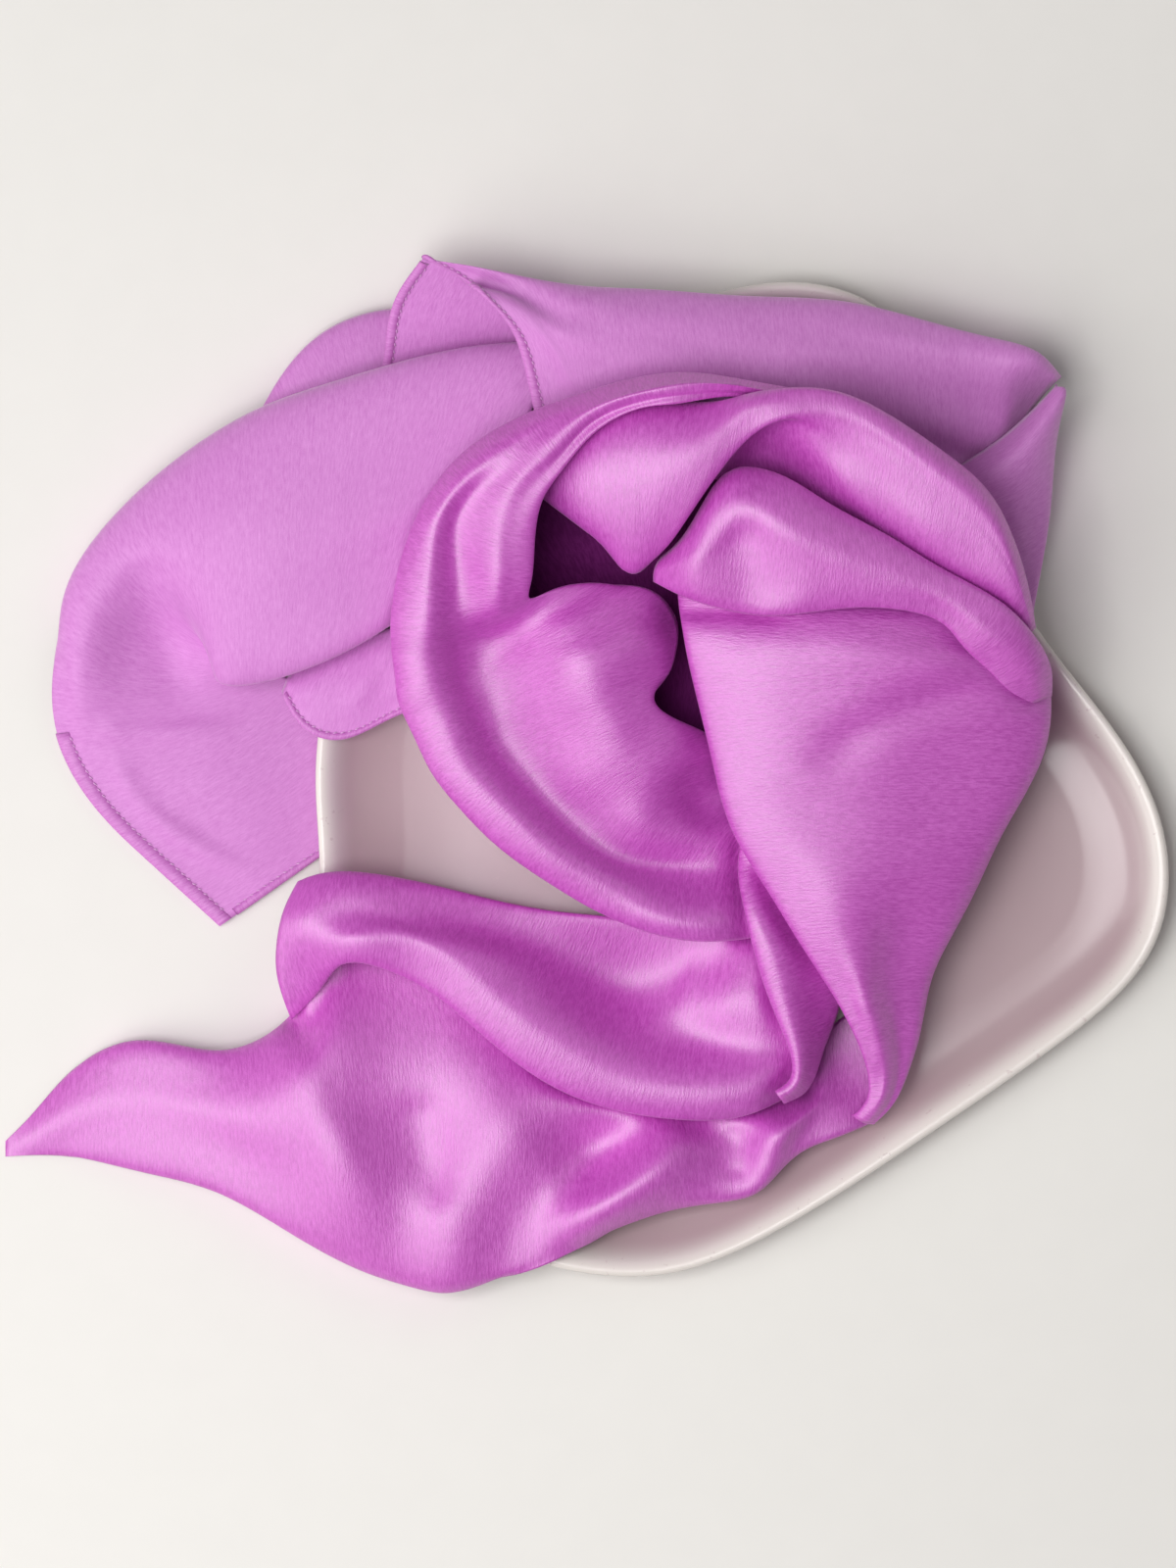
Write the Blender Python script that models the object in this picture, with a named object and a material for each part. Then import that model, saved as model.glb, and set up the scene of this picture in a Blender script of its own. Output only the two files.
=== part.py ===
"""Silk square scarf, twisted into an open rose and dropped half on a shallow glazed dish.

The scarf is one 900 mm square of crepe satin. It lies loose, so each stretch of it that shows is a
solid of its own: a skin lofted through sections, with its outer edges turned under, given the cloth's
wall, and pressed under the stretches that lie over it and onto the dish and the table. The layers
inside the heap share one rounded solid. Lengths are in millimetres, heights are above the table.
"""

import math

import bpy
import numpy as np

MM = 0.001  # metres in a millimetre

# Cloth
CLOTH_WALL = 1.2  # thickness of every stretch
FOLD_SHARE = 0.38  # most of the gap between the two layers of a fold that each may fill
AIR = 0.5  # clear space between two layers
STEP_ALONG = 9.0  # spacing of the sections worked out along a stretch
STEP_ACROSS = 9.0  # spacing of the points worked out across a stretch
PRESS_MARGIN = 1.6  # how far to the side an upper layer presses
PRESS_REACH = 16.0  # how far beside an upper layer the cloth is still held down
PRESS_SLOPE = 1.6  # rise of the cloth beside a layer that presses it

# Turned-under edges, in multiples of the roll's radius
FULL_ROLL = 2.0  # radius from which an edge is fully turned under
SHOULDER_IN = 0.45  # the roll's side, in from the edge
SHOULDER_DOWN = 1.0  # the roll's side, down
UNDER_IN = 0.95  # its underside, in from the edge
UNDER_DOWN = 1.2  # its underside, down
EDGE_POINTS = 3  # points across that belong to the roll
UNDER_LAP = 1.0  # how much lower the underside ends, in millimetres
HANG_LEAN = 0.12  # how far the hanging cloth leans in, as a share of its drop
FLAT_SHARES = (0.0, 0.12, 0.24)  # where the same points lie on a flat edge, as shares of its first gap

# Rolled hems
HEM_WALL = 0.9  # thickness above the panel
HEM_AIR = 0.45  # clear space over the panel
HEM_INSET = 0.25  # distance in from the panel's edge
HEM_SIDE = 0.6  # height of a hem's sides, as a share of its middle

# Dish
DISH_CENTRE = (54.0, -2.0)
DISH_SPOKES = 56
DISH_FLOOR_UP = 6.5
DISH_UPPER_ROW = 4  # row of its wall from which the surface faces up
RIM_MARGIN = 4.0  # how far to the side the rim holds the cloth up
RIM_REACH = 8.0  # how far beside the rim the cloth still leans on it
CORNER_STRETCH = "drape_left"  # the stretch whose corner lies on the table, under the rim
CORNER_UP = 6.0  # what of it is lower than this lies there
FLAT_UP = 1.8  # an underside lower than this lies flat on the table

# Layers inside the heap
CORE_CENTRE = (32.0, 8.0)
CORE_FOOT_UP = 1.0  # height of its foot over the dish's floor
CORE_SHOULDER_UP = 4.0  # height of its widest place over the dish's floor
CORE_TOP = 66.0  # where the cloth over it leaves room
CORE_PIT_UP = 34.0  # where the heap is open to the sky
CORE_SPOKES = 40
CORE_RINGS = 14
CORE_FOOT_SHARES = (0.80, 0.97)  # reach of the rings of its foot, as shares of its widest
CORE_CROWN = 0.98  # 1 would make its dome a full half ellipse
CORE_LAST_TURN = 0.12  # angle at which its last ring sits, short of the top
CORE_AIR = 2.0
CORE_SLOPE = 0.8  # steepest rise of its top beside a lower place
CORE_REACH = 30.0  # how far beside a lower place it is still held down

# The plan grid on which heights are compared
PLAN_REACH = 236.0
PLAN_CELL = 1.5
NO_LIMIT = 1000.0  # higher than anything here

# Middle of the whole object in plan, moved to the origin at the end
PLAN_MIDDLE = (-0.685, 3.222)

# A stretch's table has a row for each section. A section runs in plan from its near edge to its far
# edge. near and far are x/y/up. The named knots between them are inset/up: how far in from the near
# edge, and how high. turn and far_turn are radius/hang of a turned-under edge: its roll, and how far the
# cloth drops below the roll. bow is how far the middle of the section swings to its left.

PETAL_UPPER = """
           near turn   crest       mid       lip    tuck  pocket     slope           far far_turn  bow
     -18/114/53  0/0  3.5/56    7.5/56     12/52 10.5/47  9.5/43      9/38    -18/106/34      0/0    0
   1.5/129.5/60  2/0 12.5/69   28.5/68   42.5/57 40.5/50   39/43   37.5/36       1/93/30      0/0   -1
    18/134.5/63  3/4 14.5/74   34.5/72   55.5/60 60.5/50   58/43   55.5/36    15.5/81/29      0/0 -0.5
    35/134.5/64  3/2   13/77   31.5/75   53.5/61   51/55   49/50   47.5/46  27.5/88.5/43      0/0  0.5
    48.5/135/70  3/0  8/78.5     20/78   37.5/70 34.5/63   32/58   30.5/54   41.5/107/50      0/0  0.5
    56.5/137/73  3/0  5/79.5   11.5/79     19/75   16/68 20.5/56     26/48     53/105/45      0/0   -1
65.5/138.5/74.5  3/0  4/79.5    7.5/80     12/78 10.5/71 16.5/60   26.5/52     68/101/47      0/0 -1.5
      74/139/75  3/2    4/79  7.5/79.5   11/77.5   13/73 19.5/67   30.5/58    78.5/95/54      0/0   -1
      86/138/74 4/14    5/78    9/77.5   13.5/75 18/72.5   24/70   34.5/65    89/93.5/56      0/0   -1
     105/130/71 5/22  6.5/77     11/76 16.5/74.5 22.5/72   28/70   37/65.5     102/84/57      0/0    0
 126.5/115.5/66 5/20    6/75 11.5/74.5     17/73   23/71 28.5/69   36.5/64     119/70/55      0/0   -1
      144/98/61 5/18    5/71   10.5/71   15.5/70 20.5/68 25/65.5   30/61.5     136/61/54      0/0 -0.5
      154/73/55 5/12  3/63.5      5/64    7/63.5  9.5/62 12/59.5 15.5/55.5 145.5/55.5/51      0/0 -0.5
      158/55/46  2/0    1/51    2/51.5  2.5/51.5  3.5/51  4.5/50    6/48.5 152/49.5/46.5      0/0    0
"""

PETAL_LOW = """
           near  turn     crest       mid       dip            far far_turn bow
     25.5/80/51   0/0    2.5/54    4.5/55      7/54       23/71/51      1/0  -1
       33/87/57   0/0      4/64      9/66     14/64     30/67.5/57    2.5/1  -1
     40/98.5/63   0/0    7.5/71   15.5/73   24.5/71     35.5/65/60      3/1   0
    48.5/110/65   1/0  9.5/75.5   22/75.5 35.5/71.5     43/62.5/62      3/0 0.5
  57.5/111.5/64   3/0 11.5/77.5 22.5/76.5     38/71     54/60/62.5      3/0 1.5
      67/109/66 3.5/0   14.5/79 24.5/77.5 39.5/72.5       63/59/65    2.5/0   1
   85/98.5/67.5 2.5/0   12/76.5 22.5/75.5   31/72.5 83.5/60.5/66.5    1.5/0   1
      106/87/67   2/0   10/73.5     17/73   21.5/71  104/61.5/66.5    1.5/0   1
126.5/74.5/64.5   2/0    5/69.5   10/69.5     14/67    124/56.5/63    1.5/0 0.5
    146.5/63/62   2/0      5/66   11/66.5     16/64    132.5/47/60      1/0   2
    158/52/55.5   1/0      4/60    9.5/61     15/59      142/39/56      0/0   1
  164/40.5/46.5   1/0  3.5/51.5  7.5/53.5     12/53    149/32.5/52      0/0 0.5
    164/31/41.5   0/0  1.5/43.5  3.5/45.5  5.5/46.5  157/28.5/47.5      0/0   0
"""

PETAL_OUTER = """
          near turn     brow     crest       dip      rise    swell           far far_turn  bow
   70/139.5/60  3/8   1.5/64    2.5/66    4/66.5      5/66   6.5/65 66.5/132.5/64      2/0    0
 51.5/142.5/65 4/15   1.5/71    2.5/73      3/73  4.5/71.5 5.5/69.5     50/136/67    1.5/0    0
 31.5/144.5/65 5/18   2.5/74      4/77    5.5/78    7.5/77     9/76   31.5/134/72      3/0    0
     14/142/63 5/12   2.5/72    4.5/76      6/78    7.5/77   9.5/75 17.5/132.5/71    3.5/0 -0.5
   -3.5/137/61 5/12     3/71    5.5/74    7.5/76     10/75    12/73  2.5/124.5/69      4/0    0
  -22.5/130/60 5/16     5/71    8.5/73     13/75     17/75  20.5/73   -9/111.5/68      4/0    0
  -42/118.5/59 5/17     6/71     10/72     15/72   20.5/74    27/73  -16.5/100/67      4/0 -2.5
    -57/101/58 5/18     6/70   10/68.5   15/65.5   25/70.5  33.5/71   -19/85.5/65     4/10 -3.5
     -67/75/56 5/17 5.5/65.5   12.5/68 21.5/60.5     32/67  40.5/67 -20.5/70.5/61     4/12 -1.5
 -69.5/57.5/54 5/16   6/64.5   14/66.5   23/56.5   34.5/60  43/60.5 -19/65.5/54.5     4/10 -3.5
   -69.5/51/53 5/17   6/63.5     14/65 23.5/52.5   36/54.5  48.5/57 -10/69.5/50.5    3.5/8   -5
     -69/45/53 5/18   6/63.5 14.5/63.5   24.5/49     38/48  55.5/54       4/71/48      2/2   -5
     -68/37/52 5/19 6.5/62.5   15/62.5     25/47   40.5/47  62.5/58  15.5/70.5/48      1/0   -5
   -67/29.5/52 5/18 6.5/61.5   16/61.5 25.5/46.5   41.5/48  65.5/60      25/67/48    0.5/0   -4
   -64.5/23/51 5/20 7.5/60.5   16.5/60   26.5/46     43/49    68/62    31/59.5/49    0.5/0   -1
   -60/13.5/50 5/28   7/59.5     16/59     26/45     42/49  67.5/62      32/49/48      1/0  1.5
    -55/3.5/49 5/31   7/58.5 15.5/57.5   25/43.5   40.5/48  64.5/60      29/39/48      1/0    4
     -46/-8/48 5/32   7/57.5   15/56.5   24/42.5     39/47    60/57  23.5/29.5/50      2/2    4
-31.5/-22.5/46 5/31 6.5/55.5   14/55.5 22.5/41.5   34.5/46    57/54  34.5/21.5/42    2.5/2    5
    -14/-35/43 5/28 6.5/53.5   13/51.5   19.5/40 31.5/44.5  52.5/50    47/13.5/34      2/0    9
      7/-47/41 5/12   6/49.5   12.5/48   19/37.5   29.5/43  45/41.5       51/2/28      0/0   11
   31.5/-55/39  5/8   6.5/49     15/42     24/34   32.5/37    42/35      54/-7/27      0/0    9
     55/-55/37  4/4   6.5/43   14.5/39     23/34     30/32  37/29.5 63/-13.5/26.5      0/0    4
   75/-52.5/30  1/0   6.5/33   12.5/32     19/31   24.5/30    30/30   77.5/-18/29      0/0    1
"""

PANEL_RIGHT = """
          near   turn      brow     crest       mid       dip             far far_turn  bow
    31.5/72/47    2/4     18/52   38.5/53   66.5/53   94.5/48     151.5/60/38      0/0  3.5
      32/63/51   4/12   17.5/59 37.5/60.5 65.5/60.5   94.5/56       156/54/40      4/6    3
      33/56/55 4.5/14 16.5/61.5   36.5/63   64.5/63   94.5/57   160.5/47.5/40     5/14    2
    34.5/47/55   5/16   15/62.5   35.5/65   63.5/65 95.5/59.5       163/40/41     6/20    2
    38/31.5/53   5/16 15.5/61.5     33/64   60/63.5 93.5/57.5       164/31/39     6/21    1
     43.5/9/51    5/6   12.5/59   28.5/61 54.5/59.5   84.5/53     161.5/11/36     6/18  0.5
 51.5/-18/48.5    5/3 11.5/56.5   25.5/58 46.5/56.5     71/50  146.5/-18/34.5     6/16  0.5
   63.5/-38/46    5/2      9/54   20.5/57   34.5/55   53.5/48      137/-38/32     6/14    1
   75/-56.5/44    5/2    6.5/51   14.5/53   24.5/50   37.5/42    127.5/-56/30     6/12  1.5
   86/-73.5/41    4/2    4.5/46    9.5/49   15.5/46     25/39  121.5/-69.5/28      5/8  1.5
   95/-90.5/36    3/2    3.5/40      7/42   11.5/39   16.5/34  117.5/-87.5/25      5/5    2
99.5/-104.5/29    3/1      3/32    5.5/33    8.5/31   11.5/28 113.5/-101.5/22      4/3 -0.5
98.5/-112.5/25    2/0    2.5/28  4.5/28.5    6.5/27    8.5/24   108/-113.5/20      3/1 -0.5
93.5/-117.5/21    0/0    2.5/23      5/23    6.5/22    8/20.5     102/-121/19      0/0   -1
"""

STRIP_MID = """
        near    turn    crest     mid     dip            far far_turn  bow
 55/-12.5/40     0/0   4.5/43    9/43   15/41    76.5/-10/38      0/0    0
 53/-29.5/43   3.5/1   4.5/47 10.5/47 18.5/44    78.5/-24/40      0/0    0
 55/-44/43.5 2.5/0.5     5/48   12/47   20/43      82/-37/37      0/0  0.5
 61/-67.5/40   3.5/4   5.5/45 12.5/42   21/37    89/-57.5/33      0/0    0
   68/-86/37   3.5/4 3.5/41.5  8.5/38 14.5/32  89.5/-78.5/26      0/0 -0.5
 72/-97.5/35     3/3     2/39    5/37    8/32  83.5/-96.5/25      1/1 -0.5
  71/-105/33   2.5/2     2/36    4/35    6/31 77.5/-109.5/25      1/1 -0.5
66/-108.5/34     1/1   2/35.5    4/34    5/31 69.5/-113.5/28      0/0    0
"""

ROLL_LOWER = """
          near turn    brow     crest       mid       dip              far far_turn  bow
 -103/-34.5/24  3/6    6/29   14.5/31   25.5/27   37.5/22    -105.5/-84/15      2/0 -6.5
    -96/-32/26 4/14    7/34   15.5/37   23.5/35   32.5/29       -95/-73/21      3/0   -5
    -86/-31/27 4/15  6.5/36   14.5/38   21.5/41   27.5/40       -87/-64/31      5/0 -0.5
    -63/-34/26 4/16  7.5/33     15/37 19.5/41.5 27.5/39.5 -67.5/-67.5/32.5      5/3    0
-31.5/-41.5/23 4/14  9.5/27   17.5/36   25.5/41 33.5/39.5 -49.5/-78.5/32.5      5/3    0
   -3.5/-46/21  4/6 11.5/20 22.5/24.5   34.5/36 46.5/39.5    -24/-100/31.5      5/3    0
   21/-48.5/20  3/0 15.5/15   30/16.5     43/30     56/37    2/-113.5/29.5      5/2  0.5
     44/-49/24  0/0 16/21.5   30.5/24   44/24.5 58.5/35.5       31/-119/28      5/2    0
   65/-52.5/26  0/0   16/32     29/32 42.5/29.5   54.5/34   56.5/-117.5/27      5/2  0.5
     82/-61/24  0/0 10.5/26     21/26     32/26   40.5/29       75/-109/24      4/1  0.5
"""

DRAPE_LOW = """
           near  turn   crest     mid     dip              far far_turn bow
-208/-127.5/1.5   0/0 1.5/1.5   3/1.5   4/1.5    -208/-133/1.5      0/0   0
  -199.5/-119/2   0/0   3.5/3   7/3.5  10.5/3  -199.5/-132.5/2      0/0   0
  -184/-101.5/3   1/0 7.5/6.5    16/8  24.5/6  -185/-133.5/2.5      1/0   0
   -161/-91.5/6 2.5/1   10/12   21/13 33.5/11      -161/-138/5      2/0   0
  -132.5/-95/10   3/4   10/18 22.5/20 36.5/16      -131/-146/9      3/2   0
  -108.5/-85/10 3.5/8   13/26   34/30   57/23 -103.5/-161.5/11    3.5/4 0.5
     -89/-66/12   0/0   25/28   48/30   76/30  -80.5/-173.5/12    3.5/5  -1
     -68/-70/17   0/0 28/24.5 52.5/24 80/25.5    -63.5/-179/13      4/5   0
     -47/-75/18   0/0   26/25   51/26 82.5/28    -48.5/-181/14      4/5   0
     -24/-91/18   0/0   17/26   36/29 62.5/23  -24/-174.5/19.5      1/0   0
      4/-102/18   0/0 12.5/24   28/18   47/32      1.5/-163/20      1/0   0
   28.5/-109/18   0/0  7.5/19   17/28   30/31       32/-151/18    2.5/0   0
     52/-108/18   0/0 10.5/20 19.5/20 29.5/22     53/-147.5/17    3.5/0   0
 66.5/-104.5/17   0/0   10/25   20/28 29.5/26   62.5/-143.5/17      3/0   1
    78.5/-96/12   0/0   12/18   21/24   29/23       74/-132/16      3/0   1
     89.5/-84/9   0/0 13.5/11   25/15   34/19     88/-125.5/16      3/0   0
    102/-78.5/9   0/0   14/11   25/13 34.5/15      102/-120/14      2/0 0.5
"""

DRAPE_LEFT = """
          near turn   crest     mid     dip             far far_turn bow
   -56/62.5/30  0/0 24.5/34   49/35   77/34     -7/157.5/26      4/2   0
     -75/53/28  4/3 21.5/34   44/37 69.5/36    -46/154.5/27      5/2   0
   -98/41.5/26  4/3 21.5/35   46/38   74/37      -89/143/25      5/3   0
-118.5/35.5/21  4/3 20.5/33   45/37   73/35 -118.5/132.5/20      5/9   0
-132.5/37.5/17  3/2 15.5/25 33.5/29 57.5/30     -147/115/16     4/10   1
   -126/43.5/9  0/0   16/11 35.5/16 54.5/22    -173/90.5/11      3/6   5
 -122.5/42/6.5  0/0    20/7  40.5/9 58.5/18       -187/66/9      2/3 6.5
 -118.5/40.5/5  0/0  23.5/5  44.5/7 62.5/12     -191/38.5/6      0/0   7
 -110/38.5/3.5  0/0  24.5/4  46.5/5    69/7     -189.5/18/3      0/0 3.5
   -101/34.5/3  0/0    25/4    45/5  69/4.5   -179/-3.5/2.5      0/0   3
  -93/15.5/2.5  0/0    21/3    40/4    60/3    -159/-25/2.5      0/0 2.5
     -93/-24/2  0/0  12/2.5  23.5/3  35/2.5    -131/-50.5/2      0/0   0
"""

FOLD_BACK = """
          near turn    mid           far far_turn bow
-118.5/131.5/5  0/0  2.5/7    -115/126/8      0/0   0
    -107/149/7  3/3   8/11 -101/133.5/12      0/0   0
   -91.5/163/7  3/4  11/12  -86/141.5/13      0/0   0
     -74/169/7  3/4  11/12    -73/147/12      0/0   0
     -51/168/7  3/4 7.5/12  -51/152.5/12      0/0   0
     -23/163/7  1/2   4/11  -23/154.5/11      0/0   0
"""

ARCH_INNER = """
        near turn  crest     dip          far far_turn  bow
-58.5/186/33  0/0   9/29 22.5/22 -73/147.5/15      0/0   -4
-42/181.5/31  0/0   8/27   20/21 -51.5/150/15      0/0 -1.5
  -18/175/27  0/0 6.5/24   14/20 -22/153.5/17      0/0    0
"""

BAND_BACK = """
          near   turn   brow  crest     dip    rise   swell            far far_turn  bow
-58.5/186.5/38    0/0 9.5/36  19/36   18/42 29.5/44 46.5/41   -18/129.5/36      0/0 10.5
    -40/183/39  2.5/6 7.5/37  14/39   17/43   28/45   42/42    -9/129.5/37      0/0    8
    -14/178/37   4/14   6/42  12/43   18/45 25.5/44   37/42      -3/126/37      0/0    1
 17.5/175.5/34   4/22   5/40  10/42   16/43 23.5/44 35.5/42      23/126/38      0/0  0.5
     56/173/32   4/22 5.5/39  11/41 17.5/42 25.5/42 37.5/40    60/122.5/36      0/0    0
   91.5/171/31   4/22 5.5/37  11/39 17.5/39 25.5/38 37.5/35    97.5/119/31      0/0 -0.5
  119/164.5/31   4/22 4.5/36 9.5/38 16.5/36 25.5/32 38.5/28     124/110/24      0/0 -1.5
    144/158/32   4/22 4.5/37 9.5/37   16/34   23/29 33.5/24 136.5/112.5/19      0/0 -0.5
  159.5/153/33 3.5/12 3.5/38 8.5/38 14.5/34   21/29   31/23     142/115/18      0/0    0
  168.5/145/31    1/2 3/35.5 6.5/35   10/31   16/27   25/22   148.5/116/18      0/0   -2
"""

PANEL_SIDE = """
         near turn   crest     dip            far far_turn  bow
 129/111.5/21  0/0 14.5/24 30.5/27   166.5/142/30      1/0   -2
 133/108.5/30  0/0 13.5/33 28.5/35 169.5/139.5/31      3/6   -3
 136/104.5/33  0/0   13/35   27/35   168/130.5/27     4/14 -2.5
139.5/98.5/32  0/0   11/32   22/31   166/118.5/22     4/14 -2.5
  143.5/89/29  0/0  8.5/29 16.5/26 164.5/100.5/18     4/12 -0.5
  149/73.5/25  0/0  5.5/24   11/22    162/81.5/17    2.5/6 -0.5
  151.5/56/20  0/0  2.5/20  5.5/19  158.5/59.5/17      0/0 -0.5
"""

FLAP_HEM = """
       near turn     crest       dip              far far_turn  bow
 -102/46/17  0/0  5.5/18.5   10/18.5       -109/33/18      0/0 -0.5
-91/49.5/19  0/0   11/20.5   22/20.5 -101.5/20.5/18.5      0/0    0
-77.5/53/20  0/0 12.5/21.5 25.5/21.5      -87.5/16/19      0/0    0
-65/57.5/21  0/0   12/22.5   24/22.5      -72/22.5/20      0/0    0
-52/62.5/23  0/0   11.5/24     23/24      -57/28.5/22      0/0    0
"""

STRETCHES = {
    "petal_upper": PETAL_UPPER,
    "petal_low": PETAL_LOW,
    "panel_right": PANEL_RIGHT,
    "strip_mid": STRIP_MID,
    "petal_outer": PETAL_OUTER,
    "roll_lower": ROLL_LOWER,
    "drape_low": DRAPE_LOW,
    "panel_side": PANEL_SIDE,
    "band_back": BAND_BACK,
    "drape_left": DRAPE_LEFT,
    "arch_inner": ARCH_INNER,
    "fold_back": FOLD_BACK,
    "flap_hem": FLAP_HEM,
}  # from the top of the heap down
EDGE_COLUMNS = ("near", "turn", "far", "far_turn", "bow")
REVERSE_SIDE = ("panel_side", "band_back", "drape_left", "arch_inner", "fold_back", "flap_hem")

# Which stretch presses on which, and the share of the upper one's length that does.
PRESSES = """
lower       upper       start stop
panel_right petal_low    0.0  1.0
panel_right petal_upper  0.5  1.0
strip_mid   panel_right  0.0  1.0
petal_outer panel_right  0.0  1.0
petal_outer petal_low    0.0  1.0
petal_outer strip_mid    0.0  1.0
roll_lower  petal_outer  0.0  1.0
roll_lower  strip_mid    0.0  1.0
roll_lower  panel_right  0.0  1.0
drape_low   roll_lower   0.0  1.0
drape_low   panel_right  0.0  1.0
drape_low   strip_mid    0.0  1.0
panel_side  petal_upper  0.0  1.0
panel_side  petal_low    0.0  1.0
panel_side  panel_right  0.0  1.0
band_back   petal_outer  0.0  1.0
band_back   petal_upper  0.0  1.0
band_back   panel_side   0.0  1.0
drape_left  petal_outer  0.0  1.0
drape_left  band_back    0.0  1.0
arch_inner  drape_left   0.0  1.0
arch_inner  band_back    0.0  1.0
fold_back   arch_inner   0.0  1.0
fold_back   drape_left   0.0  1.0
flap_hem    drape_left   0.0  0.38
flap_hem    petal_outer  0.0  1.0
"""

# Rolled hems: the stretch and edge they lie on, where they start and stop along it, and width.
HEMS = """
name          stretch     edge  start stop width
hem_corner    drape_left  far   0.70  1.00 4.6
hem_end       drape_left  last  0.04  0.80 2.6
hem_arch      band_back   first 0.04  0.99 3.2
hem_arch_left arch_inner  first 0.03  0.98 3.0
hem_flap      flap_hem    far   0.02  0.98 2.4
"""

# The dish's outline in plan, anticlockwise from its left side.
DISH_OUTLINE = """
    x      y
-97.3    0.0
-95.9  -28.0
-96.5  -60.0
-86.0 -110.0
-59.5 -149.8
-20.0 -170.0
 31.5 -174.0
 66.0 -160.0
122.5 -124.3
170.0  -91.0
202.5  -56.0
205.8  -20.0
192.5   12.0
161.0   54.3
134.0  112.0
100.0  172.0
 77.0  178.8
 45.5  175.0
  0.0  155.0
-45.0  124.0
-78.0   82.0
-92.5   40.0
"""

# The dish's wall, from the foot round the rim to the inner floor: inset from the outline, and height.
DISH_WALL = """
inset   up
 34.0  0.0
 26.0  0.0
 14.0  3.2
  4.5 10.5
  0.3 14.4
  0.6 15.6
  2.2 16.0
  4.4 15.3
  9.0 12.0
 18.0  8.4
 32.0  6.7
"""

# The core's outline in plan: its widest reach from its centre at each of these angles.
CORE_OUTLINE = """
angle reach
   0  88
  45 100
  90 104
 135 102
 180  66
 225  46
 270  64
 315  84
"""


def read_table(text):
    """The columns of a table, by name: words, numbers, or rows of numbers joined by slashes."""
    lines = [line.split() for line in text.strip().splitlines()]
    columns = {}
    for name, *cells in zip(*lines):
        if cells[0][-1].isdigit():
            numbers = np.array([cell.split("/") for cell in cells], float)
            cells = numbers[:, 0] if numbers.shape[1] == 1 else numbers
        columns[name] = cells
    return columns


def turned_under(net, turn):
    """The net with two more points a row beyond its first edge: the end of the underside of the roll and
    its shoulder. Where a row has no roll they lie flat on the skin."""
    edge, inner = net[:, 0], net[:, 1]
    span = inner - edge
    reach = np.linalg.norm(span[:, :2], axis=1, keepdims=True)
    inward = np.concatenate([span[:, :2] / reach, np.zeros_like(reach)], axis=1)
    down = np.array([0.0, 0.0, -1.0])
    roll, hang = turn[:, :1], turn[:, 1:]
    under = edge + inward * (UNDER_IN * roll + HANG_LEAN * hang)
    under += down * (UNDER_DOWN * roll + hang + UNDER_LAP)
    shoulder = edge + inward * SHOULDER_IN * roll + down * SHOULDER_DOWN * roll
    rolled = np.stack([under, shoulder, edge], axis=1)
    flat = edge[:, None] + span[:, None] * np.array(FLAT_SHARES)[:, None]
    share = np.clip(roll / FULL_ROLL, 0, 1)[:, None]
    return np.concatenate([flat + (rolled - flat) * share, net[:, 1:]], axis=1)


def control_net(table):
    """The points of a stretch's sections, edge to edge: sections x points x 3."""
    near, far = table["near"], table["far"]
    span = (far - near)[:, :2]
    width = np.linalg.norm(span, axis=1)
    inward = span / width[:, None]
    left = np.stack([-inward[:, 1], inward[:, 0]], axis=1)
    points = [near]
    for name in table:
        if name in EDGE_COLUMNS:
            continue
        inset, up = table[name].T
        share = inset / width
        swing = table["bow"] * 4 * share * (1 - share)
        plan = near[:, :2] + inward * inset[:, None] + left * swing[:, None]
        points.append(np.column_stack([plan, up]))
    net = turned_under(np.stack(points + [far], axis=1), table["turn"])
    return turned_under(net[:, ::-1], table["far_turn"])[:, ::-1]


def chord_knots(net, axis):
    """Running length of the net along an axis, averaged over its lines."""
    chords = np.linalg.norm(np.diff(net, axis=axis), axis=2).mean(axis=1 - axis)
    return np.concatenate([[0.0], np.cumsum(chords)])


def stations(knots, step):
    """Places along the knots, at every knot and about a step apart between them."""
    places = []
    for start, end in zip(knots[:-1], knots[1:]):
        count = max(1, round((end - start) / step))
        places.extend(start + (end - start) * np.arange(count) / count)
    return np.array(places + [knots[-1]])


def spline_weights(knots, places):
    """Weights of the natural cubic spline through the knots, one row for each place."""
    count = len(knots)
    gaps = np.diff(knots)
    system, right = np.eye(count), np.zeros((count, count))
    for i in range(1, count - 1):
        system[i, i - 1 : i + 2] = gaps[i - 1], 2 * (gaps[i - 1] + gaps[i]), gaps[i]
        right[i, i - 1 : i + 2] = 6 / gaps[i - 1], -6 / gaps[i - 1] - 6 / gaps[i], 6 / gaps[i]
    bends = np.linalg.solve(system, right)
    cell = np.clip(np.searchsorted(knots, places, side="right") - 1, 0, count - 2)
    gap = gaps[cell]
    ahead = (places - knots[cell]) / gap
    behind = 1 - ahead
    line = np.arange(len(places))
    weights = np.zeros((len(places), count))
    weights[line, cell] += behind
    weights[line, cell + 1] += ahead
    weights += ((behind**3 - behind) * gap**2 / 6)[:, None] * bends[cell]
    weights += ((ahead**3 - ahead) * gap**2 / 6)[:, None] * bends[cell + 1]
    return weights


def loft(net):
    """The skin through the net: a grid of points."""
    along, across = chord_knots(net, 0), chord_knots(net, 1)
    by_row = spline_weights(along, stations(along, STEP_ALONG))
    by_column = spline_weights(across, stations(across, STEP_ACROSS))
    return np.einsum("ui,vj,ijk->uvk", by_row, by_column, net)


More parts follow.
